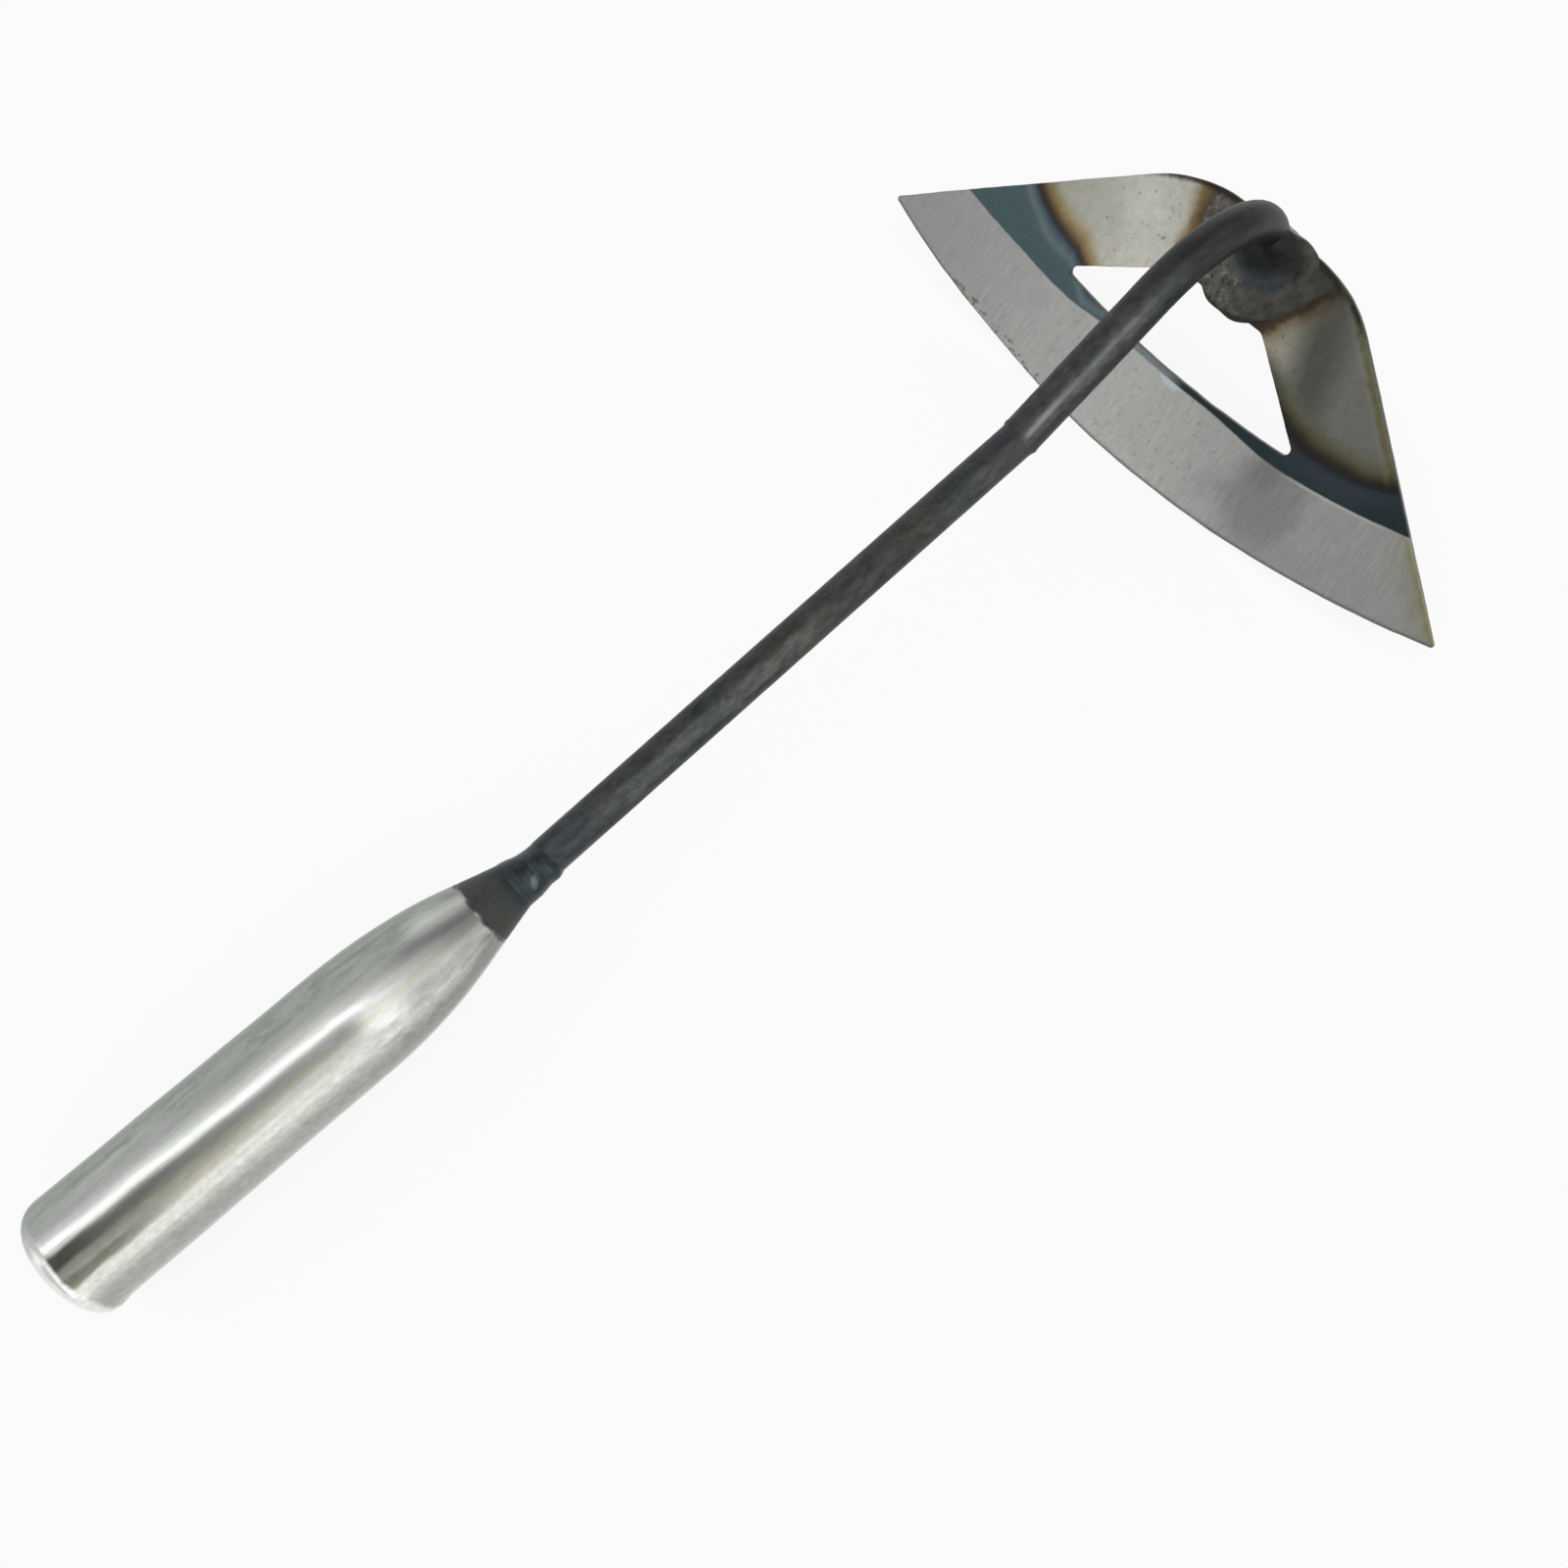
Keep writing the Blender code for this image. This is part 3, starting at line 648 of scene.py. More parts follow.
def right_end_stains(colour, u, h, right_side, ground, wobble, grain, mottle):
    """Straw and pink lines inside the right arm's outer edge, and a yellow stain on the tip."""
    reach = BLADE_HALF_WIDTH * MM - u.math("ABSOLUTE")
    outer = reach * sin(ARM_SLOPE) - h * cos(ARM_SLOPE)
    in_dark_band = band(u, 56, 59, 67, 70)
    ragged = frayed(frayed(outer, grain, 1), mottle, 1.8)
    straw = band(ragged, 0, 0.4, 0.8, 1.9) * right_side * smooth(h, 47, 42) * (1 - in_dark_band)
    colour = mix_colour(straw * (0.9 - ground * 0.3), colour, (0.84, 0.79, 0.38), "MULTIPLY")
    tip_stain = smooth(frayed(outer, wobble, 4), 8, 0.5) * smooth(u, 64, 76)
    colour = mix_colour(tip_stain * 0.8, colour, (0.86, 0.83, 0.66), "MULTIPLY")
    pink = band(ragged, 1.2, 1.7, 2.2, 3.2) * right_side * (1 - ground) * (1 - in_dark_band)
    return mix_colour(pink * 0.12, colour, (0.27, 0.23, 0.2))


def paint_blade(place):
    """Bare plate: a ground strip along the edge, heat tints above it and round the weld."""
    u, h, n = local(place, BLADE)
    spot = vector(u, h, 0)
    right_side = smooth(u, -6, 6)
    wobble = cloudy(spot, 0.11, 3, 0.5)
    grain = cloudy(spot, 1.9, 4, 0.6)
    clouds = cloudy(spot, 0.06, 3, 0.55)
    mottle = cloudy(spot, 0.42, 4, 0.65)
    near_weld = smooth(u, -42, -22) * smooth(u, 30, 15)
    pits = smooth(cloudy(spot, 0.6, 3, 0.65) + near_weld * 0.04, 0.62, 0.72)

    above = h - strip_border(u, lambda power: power.math("EXPONENT"))
    ground = smooth(frayed(above, wobble, 0.7), 0.3, -0.2)
    strip, lines, deep = paint_strip(u, h, wobble, clouds, pits)
    arms = paint_arms(u, h, right_side, clouds, grain, pits)
    tints, past = paint_tints(u, above, right_side, wobble)
    face = mix_colour(smooth(past, 7.5, 3.5), arms, tints)
    face = shade(face, 0.64 + mottle * 0.46 + grain * 0.26)
    face, crust = weld_heat(face, u, h, right_side, spot, mottle)
    colour = mix_colour(ground, face, shade(strip, 0.9 + mottle * 0.2))
    colour = right_end_stains(colour, u, h, right_side, ground, wobble, grain, mottle)

    # Dark side walls, thin burnt cutting edge, and a painted highlight line at the top of the strip
    face_level = above.math("MINIMUM", 0) * GRIND_SLOPE
    wall = smooth(n - face_level, -0.25, -0.7) * smooth(n, -2.48, -2.1)
    edge_curve = EDGE_DROP * MM / (BLADE_HALF_WIDTH * MM) ** 2
    edge = h + EDGE_DROP * MM - u * u * edge_curve
    specks = smooth(cloudy(spot, 0.5, 3, 0.6), 0.5, 0.64) * band(u, -68, -58, -31, -24)
    burr = smooth(frayed(edge, grain, 1.4) - specks * 2.2, 1.15, 0.3)
    lit_burr = band(above, -0.8, -0.4, -0.15, 0.1) * band(u, 36, 44, 58, 66)
    colour = layered(
        colour,
        (wall * (1 - ground * 0.6), (0.055, 0.053, 0.045)),
        (burr * 0.75, (0.12, 0.118, 0.105)),
        (lit_burr * 0.5, (0.5, 0.5, 0.5)),
    )

    scaled = ((1 - ground) * smooth(past, 1, -1)).math("MAXIMUM", crust * (1 - ground))
    roughness = mix_value(ground, 0.36 + grain * 0.14, 0.34 + lines * 0.12) + crust * 0.14
    relief = lines * ground * 0.006 + deep * ground * 0.006 - pits * 0.015
    relief = relief + crust * grain * 0.08 + (1 - ground) * grain * 0.008 + mottle * 0.01
    return colour, roughness, 1 - scaled * 0.25, relief


def paint_apex_weld(place):
    """Pitted grey-brown crust, and a smooth blue-black fillet up the rod, darkened by a painted shadow
    of the rod.
    """
    u, h, n = local(place, BLADE)
    grain = cloudy(vector(u, h, n), 1.5, 5, 0.65)
    broad = cloudy(vector(u, h, n), 0.34, 3)
    side, rise = u - 2.6, h - 43.4
    distance = frayed((side * side * 0.72 + rise * rise).math("SQRT"), broad, 3.4)
    # The fillet darkens towards its middle, blue-black partly real and partly a painted shadow under
    # the rod
    fillet = ramp_over(distance, 0, 10, [
        (0, (0.014, 0.018, 0.019)),
        (3.2, (0.016, 0.02, 0.022)),
        (5, (0.034, 0.039, 0.043)),
        (7, (0.056, 0.061, 0.065)),
        (9, (0.068, 0.069, 0.068)),
    ])
    # Painted shadow of the rod on the fillet's upper right
    painted_rod_shadow = smooth(u, 2, 7) * smooth(h, 40, 45)
    fillet = mix_colour(painted_rod_shadow * 0.9, fillet, (0.015, 0.015, 0.013))
    smooth_part = smooth(distance, 8.8, 6.6)
    colour = mix_colour(smooth_part, crust_colour(u, h, vector(u, h, 0)), fillet)
    roughness = mix_value(smooth_part, 0.44 + grain * 0.18, 0.3 + broad * 0.12)
    return colour, roughness, 0.8, grain * 0.1 * smooth(distance, 7, 11) + grain * 0.02


bright_tube = metal("bright_tube", paint_bright_tube)
ground_collar = metal("ground_collar", paint_ground_collar)
blue_weld = metal("blue_weld", paint_blue_weld)
rod_scale = metal("rod_scale", paint_rods)
blade_steel = metal("blade_steel", paint_blade)
weld_crust = metal("weld_crust", paint_apex_weld)


# Pieces


def add_piece(name, mesh, material, node):
    """Make a mesh a smooth piece of the tool, in the place of a node."""
    if isinstance(mesh, bmesh.types.BMesh):
        made = bpy.data.meshes.new(name)
        bmesh.ops.recalc_face_normals(mesh, faces=mesh.faces)
        mesh.to_mesh(made)
        mesh.free()
        mesh = made
    mesh.materials.clear()
    mesh.materials.append(material)
    mesh.shade_smooth()
    piece = bpy.data.objects.new(name, mesh)
    bpy.context.scene.collection.objects.link(piece)
    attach(piece, "root")
    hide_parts(node)


def shell(rows):
    """Closed skin through rows of places, each a full turn or a pole, which counts once in a face."""
    bm = bmesh.new()
    rows = [[bm.verts.new(place) for place in row] for row in rows]
    for row, following in zip(rows, rows[1:]):
        sides = max(len(row), len(following))
        for i in range(sides):
            here = [run[i % len(run)] for run in (row, following)]
            there = [run[(i + 1) % sides % len(run)] for run in (following, row)]
            bm.faces.new(list(dict.fromkeys(here + there)))
    return bm


def skin(rings, sides, swell):
    """Closed skin over rings given as (frame, along, radius), each square to its frame's X.

    A radius of 0 is a pole. swell says how much further out a ring is at an angle."""
    rows = []
    for place, along, radius in rings:
        row = []
        for i in range(sides if radius > 0 else 1):
            angle = 2 * pi * i / sides
            out = radius + (swell(along, angle) if radius > 0 else 0)
            row.append(place @ Vector((0, out * cos(angle), out * sin(angle))))
        rows.append(row)
    return shell(rows)


def straight_rings(profile):
    """Rings for a skin from (along, radius) pairs on the handle's axis."""
    return [(HANDLE @ Matrix.Translation((along, 0, 0)), along, radius) for along, radius in profile]


def spaced(start, end, step):
    """Numbers from start to end, evenly spaced by about step, both ends included."""
    count = max(1, round(abs(end - start) / step))
    return [start + (end - start) * i / count for i in range(count + 1)]


def handle_outline(distance):
    """Outer radius of the handle at a distance from the neck: cone, long curve, tube."""
    cone_end = TAPER_START - TAPER_RADIUS * sin(NECK_CONE)
    if distance >= TAPER_START:
        return HANDLE_RADIUS
    bend = max(distance, cone_end)
    curve_drop = TAPER_RADIUS - sqrt(TAPER_RADIUS**2 - (TAPER_START - bend) ** 2)
    return HANDLE_RADIUS - curve_drop - (bend - distance) * tan(NECK_CONE)


def handle_skin():
    """Drawn tube with soft hand-made unevenness, its swaged taper faintly fluted."""
    tube_end = HANDLE_LENGTH - BUTT_ROUND
    flat = HANDLE_RADIUS - BUTT_ROUND
    spacing = 0.0008
    profile = [(HANDLE_LENGTH, flat * i / 8) for i in range(8)]
    for turn in spaced(0, pi / 2, radians(6)):
        profile.append((tube_end + BUTT_ROUND * cos(turn), flat + BUTT_ROUND * sin(turn)))
    lip = 0.0004
    along_tube = spaced(tube_end - spacing, TUBE_MOUTH + lip, spacing)
    profile += [(along, handle_outline(along)) for along in along_tube]
    mouth = handle_outline(TUBE_MOUTH)
    for turn in spaced(radians(18), pi / 2, radians(18)):
        profile.append((TUBE_MOUTH + lip * (1 - sin(turn)), mouth - lip * (1 - cos(turn))))
    bore = mouth - HANDLE_WALL
    plug = TUBE_MOUTH + 0.003
    profile += [(TUBE_MOUTH, bore), (plug, bore), (plug, 0)]

    def swell(along, angle):
        side, rise = cos(angle), sin(angle)
        dents = 0.00009 * uneven(along, side * 0.012, rise * 0.012, 0.013, 1)
        swaged = smoothstep(along, TAPER_START + 0.008, TAPER_START - 0.012)
        flutes = 0.00009 * uneven(along * 0.25, side * 0.012, rise * 0.012, 0.0055, 2)
        near_side = -side
        drift = 0.00027 * smoothstep(along, 0.015, 0.04) * near_side
        square = 0.0009 * exp(-(((along - 0.1155) / 0.0022) ** 2)) * max(0, near_side) ** 2
        wider = 0.00015 * smoothstep(along, 0.06, 0.11)
        return dents + flutes * (0.25 + swaged) + drift + square + wider

    bm = skin(straight_rings(profile), 144, swell)
    add_piece("handle_skin", bm, bright_tube, "handle_tube")


def collar_skin():
    """Ground cone, a hair below the tube's mouth, turned over in shallow rings."""
    sunk = spacing = 0.00012
    back = TUBE_MOUTH + 0.0015
    front = COLLAR_TIP - 0.001
    profile = [(back, 0), (back, handle_outline(TUBE_MOUTH) - HANDLE_WALL)]
    along_cone = spaced(TUBE_MOUTH, front, spacing)
    profile += [(along, handle_outline(along) - sunk) for along in along_cone]
    profile.append((front, 0))

    def swell(along, angle):
        tilt = along + 0.0004 * cos(angle + 0.6)
        side, rise = cos(angle) * 0.006, sin(angle) * 0.006
        rings = 0.00004 * uneven(tilt, 0, 0, 0.0011, 3)
        fine = 0.000012 * uneven(tilt, 0, 0, 0.00035, 4)
        return rings + fine + 0.00006 * uneven(along, side, rise, 0.004, 5)

    bm = skin(straight_rings(profile), 120, swell)
    add_piece("collar_skin", bm, ground_collar, "neck_collar")


def neck_bead():
    """Lumpy bead of weld from the collar down to the rod, with a lip on one side."""
    back = COLLAR_TIP + 0.0007
    front = -0.0021
    inner = SHAFT_RADIUS - 0.0003
    thick = handle_outline(COLLAR_TIP) - inner
    profile = [(back, 0)]
    for share in spaced(0, 1, 0.018):
        along = back + (front - back) * share
        start = smoothstep(share, 0, 0.06)
        profile.append((along, inner + thick * (0.95 + 0.05 * start) * (1 - share**1.8)))
    profile.append((front, 0))

    def swell(along, angle):
        share = (back - along) / (back - front)
        body = sqrt(max(0, sin(pi * min(max(share, 0), 1))))
        side, rise = cos(angle) * 0.006, sin(angle) * 0.006
        lumps = 0.00014 * uneven(along, side, rise, 0.003, 6)
        lumps += 0.00004 * uneven(along, side, rise, 0.0012, 7)
        ripples = 0.000015 * sin(along * 5200 + 2.4 * sin(angle + 1))
        low_side = max(0, cos(angle - radians(195))) ** 4
        lip = 0.00055 * low_side * exp(-(((along - 0.0002) / 0.0012) ** 2))
        high_side = max(0, cos(angle - radians(340))) ** 2
        hollow = 0.0008 * high_side * sin(pi * smoothstep(share, 0, 1))
        return (lumps + ripples) * body + lip - hollow

    bm = skin(straight_rings(profile), 112, swell)
    add_piece("neck_bead", bm, blue_weld, "neck_weld_bead")


def heading_vector(heading):
    """Direction in the plane Y = 0 at an angle from X."""
    return Vector((cos(heading), 0, sin(heading)))


def bend(place, heading, radius, turn, steps):
    """Places and headings along an arc in the plane Y = 0, the first left out."""
    centre = place + heading_vector(heading + copysign(pi / 2, turn)) * radius
    stops = []
    for i in range(1, steps + 1):
        part = turn * i / steps
        stops.append((centre + Matrix.Rotation(-part, 3, "Y") @ (place - centre), heading + part))
    return stops


def joint_end():
    """Place and heading where the bend of the butt weld ends."""
    return bend(SHAFT @ Vector((SHAFT_END, 0, 0)), shaft_heading, JOINT_BEND, JOINT_TURN, 1)[0]


def joint_ring():
    """Butt weld between the two rods, dressed nearly flush, with a patchy low ridge left on it."""
    start = SHAFT @ Vector((SHAFT_END, 0, 0))
    lap, spacing = 0.0024, 0.0003
    back = heading_vector(shaft_heading) * -1
    stops = [(start + back * step, shaft_heading) for step in spaced(lap, 0, spacing)]
    stops += bend(start, shaft_heading, JOINT_BEND, JOINT_TURN, 14)
    end, end_heading = stops[-1]
    onward = heading_vector(end_heading)
    stops += [(end + onward * step, end_heading) for step in spaced(spacing, lap, spacing)]
    sunk = 0.00008
    rings = []
    for i, (place, heading) in enumerate(stops):
        share = i / (len(stops) - 1)
        radius = SHAFT_RADIUS + (NECK_ROD_RADIUS - SHAFT_RADIUS) * smoothstep(share, 0.3, 0.7) - sunk
        rings.append((axes(place, heading_vector(heading), SIDEWAYS), share, radius))
    rings.insert(0, (rings[0][0], 0, 0))
    rings.append((rings[-1][0], 1, 0))

    def swell(share, angle):
        body = smoothstep(share, 0, 0.4) * smoothstep(share, 1, 0.6)
        side, rise = cos(angle) * 0.0045, sin(angle) * 0.0045
        ridge = exp(-(((share - 0.5 - 0.1 * sin(angle * 2)) / 0.13) ** 2))
        patchy = abs(cos(angle + 0.3)) ** 3
        lumps = 0.00006 * uneven(share * 0.007, side, rise, 0.0018, 8)
        return body * (sunk + 0.00004 + 0.00024 * ridge * patchy + lumps)

    add_piece("joint_ring", skin(rings, 96, swell), rod_scale, "rod_joint_weld")


def rod_tree():
    """Node tree that sweeps a scaled, slightly dented round rod along a path."""
    tree = bpy.data.node_groups.new("scaled_rod", "GeometryNodeTree")
    face = tree.interface
    face.new_socket("Path", in_out="INPUT", socket_type="NodeSocketGeometry")
    sizes = {"Radius": 0.0045, "Ring Spacing": 0.0004, "Dent Size": 0.006, "Dent Depth": 0.00005}
    sizes |= {"Pit Size": 0.0011, "Pit Depth": 0.00003, "Seed": 0.0}
    for name, size in sizes.items():
        face.new_socket(name, in_out="INPUT", socket_type="NodeSocketFloat").default_value = size
    face.new_socket("Sides", in_out="INPUT", socket_type="NodeSocketInt").default_value = 64
    face.new_socket("Finish", in_out="INPUT", socket_type="NodeSocketMaterial")
    face.new_socket("Rod", in_out="OUTPUT", socket_type="NodeSocketGeometry")
    given = {socket.name: Value(tree, socket) for socket in tree.nodes.new("NodeGroupInput").outputs}

    path, radius = given["Path"], given["Radius"]
    inputs = {"Curve": path, "Length": given["Ring Spacing"]}
    path = path.node("GeometryNodeResampleCurve", {"mode": "LENGTH"}, inputs)
    inputs = {"Resolution": given["Sides"], "Radius": radius}
    circle = radius.node("GeometryNodeCurvePrimitiveCircle", {}, inputs)
    inputs = {"Curve": path, "Profile Curve": circle, "Fill Caps": True}
    rod = path.node("GeometryNodeCurveToMesh", {}, inputs)
    place = path.node("GeometryNodeInputPosition", {}, {})

    def relief(kind):
        scale = given[kind + " Size"] ** -1
        inputs = {"Vector": place, "W": given["Seed"], "Scale": scale, "Detail": 2}
        lumps = place.node("ShaderNodeTexNoise", {"noise_dimensions": "4D"}, inputs, "Fac")
        return (lumps - 0.5) * given[kind + " Depth"]

    out = (relief("Dent") + relief("Pit")) * 2
    normal = path.node("GeometryNodeInputNormal", {}, {})
    offset = out.node("ShaderNodeVectorMath", {"operation": "SCALE"}, {"Vector": normal, "Scale": out})
    for kind, inputs in (
        ("SetPosition", {"Offset": offset}),
        ("SetShadeSmooth", {"Shade Smooth": True}),
        ("RealizeInstances", {}),
        ("SetMaterial", {"Material": given["Finish"]}),
    ):
        rod = rod.node("GeometryNode" + kind, {}, {"Geometry": rod} | inputs)
    tree.links.new(rod.socket, tree.nodes.new("NodeGroupOutput").inputs["Rod"])
    return tree


def swept_rod(tree, name, points, radius, seed):
    """Run the node tree on a path through the points, and give the result as a plain mesh."""
    curve = bpy.data.curves.new(name, "CURVE")
    curve.dimensions = "3D"
    spline = curve.splines.new("POLY")
    spline.points.add(len(points) - 1)
    for spline_point, point in zip(spline.points, points):
        spline_point.co = (*point, 1)
    path = bpy.data.objects.new(name, curve)
    bpy.context.scene.collection.objects.link(path)
    modifier = path.modifiers.new("sweep", "NODES")
    modifier.node_group = tree
    named = {item.name: item.identifier for item in tree.interface.items_tree if item.in_out == "INPUT"}
    for key, setting in (("Radius", radius), ("Seed", seed), ("Finish", rod_scale)):
        modifier[named[key]] = setting
    bpy.context.view_layer.update()
    graph = bpy.context.evaluated_depsgraph_get()
    mesh = bpy.data.meshes.new_from_object(path.evaluated_get(graph), depsgraph=graph)
    bpy.data.objects.remove(path)
    return mesh


def straight_rod(tree):
    points = [SHAFT @ Vector((along, 0, 0)) for along in (0, SHAFT_END + ROD_OVERLAP)]
    mesh = swept_rod(tree, "straight_path", points, SHAFT_RADIUS, 2.0)
    add_piece("straight_rod", mesh, rod_scale, "shaft_rod")


def bent_rod(tree):
    """Rod from the butt weld over to the blade, cut off on the ground face."""
    place, heading = joint_end()
    points = [place - heading_vector(heading) * ROD_OVERLAP]
    place = place + heading_vector(heading) * NECK_RISE
    points.append(place)
    for place, heading in bend(place, heading, NECK_BEND, -NECK_SWEEP, 60):
        points.append(place)
    points.append(place + heading_vector(heading) * (NECK_DROP + 2 * NECK_ROD_RADIUS))
    clear_of_face = 0.00003
    bm = bmesh.new()
    bm.from_mesh(swept_rod(tree, "bent_path", points, NECK_ROD_RADIUS, 5.0))
    cut = bmesh.ops.bisect_plane(
        bm,
        geom=list(bm.verts) + list(bm.edges) + list(bm.faces),
        plane_co=BLADE @ Vector((0, 0, clear_of_face)),
        plane_no=BLADE.to_3x3().col[2],
        clear_inner=True,
    )["geom_cut"]
    bmesh.ops.contextual_create(bm, geom=[item for item in cut if isinstance(item, bmesh.types.BMEdge)])
    add_piece("bent_rod", bm, rod_scale, "gooseneck_rod")
    return place, heading


def sagging_arc(half_width, drop, steps):
    """Points of an arc from left to right whose middle lies drop below its ends."""
    radius = (half_width**2 + drop**2) / (2 * drop)
    spread = asin(half_width / radius)
    turns = [spread * (2 * i / steps - 1) for i in range(steps + 1)]
    return [(radius * sin(turn), radius - drop - radius * cos(turn)) for turn in turns]


def rounded(corners, spacing):
    """Outline through (point, radius) corners, its corners rounded and its sides split evenly."""
    outline = []
    count = len(corners)
    for i, (corner, radius) in enumerate(corners):
        here = Vector(corner)
        if radius == 0:
            run = [here]
        else:
            back = (Vector(corners[i - 1][0]) - here).normalized()
            ahead = (Vector(corners[(i + 1) % count][0]) - here).normalized()
            half_angle = back.angle(ahead) / 2
            centre = here + (back + ahead).normalized() * radius / sin(half_angle)
            reach = radius / tan(half_angle)
            first = here + back * reach - centre
            swing = first.angle_signed(here + ahead * reach - centre)
            steps = max(8, round(abs(swing) * radius / spacing))
            turns = [-swing * step / steps for step in range(steps + 1)]
            run = [centre + Matrix.Rotation(turn, 2) @ first for turn in turns]
        if outline:
            outline += split(outline[-1], run[0], spacing)
        outline += run
    outline += split(outline[-1], outline[0], spacing)
    return outline


def split(start, end, spacing):
    """Evenly spaced points between two others."""
    count = max(1, ceil((end - start).length / spacing))
    return [start.lerp(end, i / count) for i in range(1, count)]


def blade_outline(spacing):
    edge = sagging_arc(BLADE_HALF_WIDTH, EDGE_DROP, round(2 * BLADE_HALF_WIDTH / spacing))
    shoulder = BLADE_HALF_WIDTH - BLADE_TOP / tan(ARM_SLOPE)
    corners = [(edge[0], TIP_ROUND)]
    for u, h in clear_of_ends(edge, 0.003):
        wear = EDGE_WEAR * exp(-(((u - EDGE_WEAR_MIDDLE) / EDGE_WEAR_HALF_WIDTH) ** 2))
        corners.append(((u, h + wear), 0))
    corners += [
        (edge[-1], TIP_ROUND),
        ((shoulder, BLADE_TOP), SHOULDER_ROUND),
        ((-shoulder, BLADE_TOP), SHOULDER_ROUND),
    ]
    return rounded(corners, spacing)


def opening_outline(spacing):
    left, right = Vector(OPENING_LEFT_FOOT), Vector(OPENING_RIGHT_FOOT)
    foot = [
        left.lerp(right, share) - Vector((0, OPENING_DROP * 4 * share * (1 - share)))
        for share in spaced(0, 1, 1 / 90)
    ]
    corners = [(left, OPENING_LEFT_ROUND)] + [(point, 0) for point in clear_of_ends(foot, 0.0065)]
    corners += [
        (right, OPENING_RIGHT_ROUND),
        (OPENING_RIGHT_HEAD, OPENING_HEAD_ROUND),
        (OPENING_LEFT_HEAD, OPENING_HEAD_ROUND),
    ]
    return rounded(corners, spacing)


def clear_of_ends(run, reach):
    """Points of a run that leave room for the rounding of the corners at both its ends."""
    ends = [Vector(run[0]), Vector(run[-1])]
    return [point for point in run if min((Vector(point) - end).length for end in ends) > reach]


def border_height(u):
    """Height of the strip's upper border at u, in metres."""
    return strip_border(u * MM, exp) / MM


def warp(u, h):
    return 0.00005 * uneven(u, h, 0, 0.02, 9)


def front_level(u, h):
    return warp(u, h) - GRIND_SLOPE * max(0, border_height(u) - h)


def back_level(u, h):
    return warp(u, h) - BLADE_THICKNESS


def outline_normals(outline):
    """Directions from the outline into the plate, which lies on its left."""
    normals = []
    for before, after in zip(outline[-1:] + outline, outline[1:] + outline[:1]):
        run = (after - before).normalized()
        normals.append(Vector((-run.y, run.x)))
    return normals


def roughened(outline, depth, seed):
    """Move an outline in and out a little, as a hand-cut edge is."""
    moved = []
    for point, inward in zip(outline, outline_normals(outline)):
        wave = uneven(*point, 0, 0.007, seed) + 0.5 * uneven(*point, 0, 0.0022, seed)
        moved.append(point + inward * depth * wave)
    return moved


def inside(point, outline):
    """Whether a point lies inside an outline."""
    found = False
    for i, here in enumerate(outline):
        there = outline[i - 1]
        if (here.y > point.y) != (there.y > point.y):
            cross = here.x + (point.y - here.y) * (there.x - here.x) / (there.y - here.y)
            if point.x < cross:
                found = not found
    return found


def rim_column(point, inward):
    """Places from the back face round the rim to the front face, in the blade's frame."""
    top, bottom = front_level(*point), back_level(*point)
    size = min(RIM_ROUND, 0.42 * (top - bottom))
    column = []
    for level_at, level, turned in ((back_level, bottom, size), (front_level, top, -size)):
        on_face = (point + inward * RIM_INSET, point + inward * size)
        part = [Vector((*at, level_at(*at))) for at in on_face]
        part.append(Vector((*(point + inward * (0.3 * size)), level + 0.3 * turned)))
        part.append(Vector((*point, level + turned)))
        column += part if level_at is back_level else part[::-1]
    return column


def fill_face(bm, rims, level_at, step, creased):
    """Fill a face of the blade between its rims, each a row of (point, vertex), with even triangles.

    A creased face gets two close rows of points along the border of the ground strip."""
    outer, hole = [[point for point, _ in rim] for rim in rims]
    verts = [vert for rim in rims for _, vert in rim]

    def on_plate(point):
        return inside(point, outer) and not inside(point, hole)

    seeds = []
    for column in spaced(-BLADE_HALF_WIDTH, BLADE_HALF_WIDTH, step):
        for height in spaced(-EDGE_DROP, BLADE_TOP, step):
            jitter = [0.2 * step * uneven(column, height, 0, 0.0005, draw) for draw in (21, 22)]
            point = Vector((column, height)) + Vector(jitter)
            if abs(point.y - border_height(point.x)) >= 0.4 * step and on_plate(point):
                seeds.append(point)
    if creased:
        run = [Vector((u, border_height(u))) for u in spaced(-0.082, 0.082, 0.0009)]
        run = [point for point in run if on_plate(point)]
        seeds += [point + Vector((0, lift)) for point in run for lift in (-0.00014, 0.00014)]
    edges = [(i, (i + 1) % len(outer)) for i in range(len(outer))]
    edges += [(len(outer) + i, len(outer) + (i + 1) % len(hole)) for i in range(len(hole))]
    made, _, triangles, source, _, _ = delaunay_2d_cdt(outer + hole + seeds, edges, [], 1, 1e-7)
    placed = []
    for point, origins in zip(made, source):
        on_rim = next((verts[origin] for origin in origins if origin < len(verts)), None)
        placed.append(on_rim or bm.verts.new(BLADE @ Vector((*point, level_at(*point)))))
    for triangle in triangles:
        if on_plate(sum((made[i] for i in triangle), Vector((0, 0))) / 3):
            bm.faces.new([placed[i] for i in triangle])


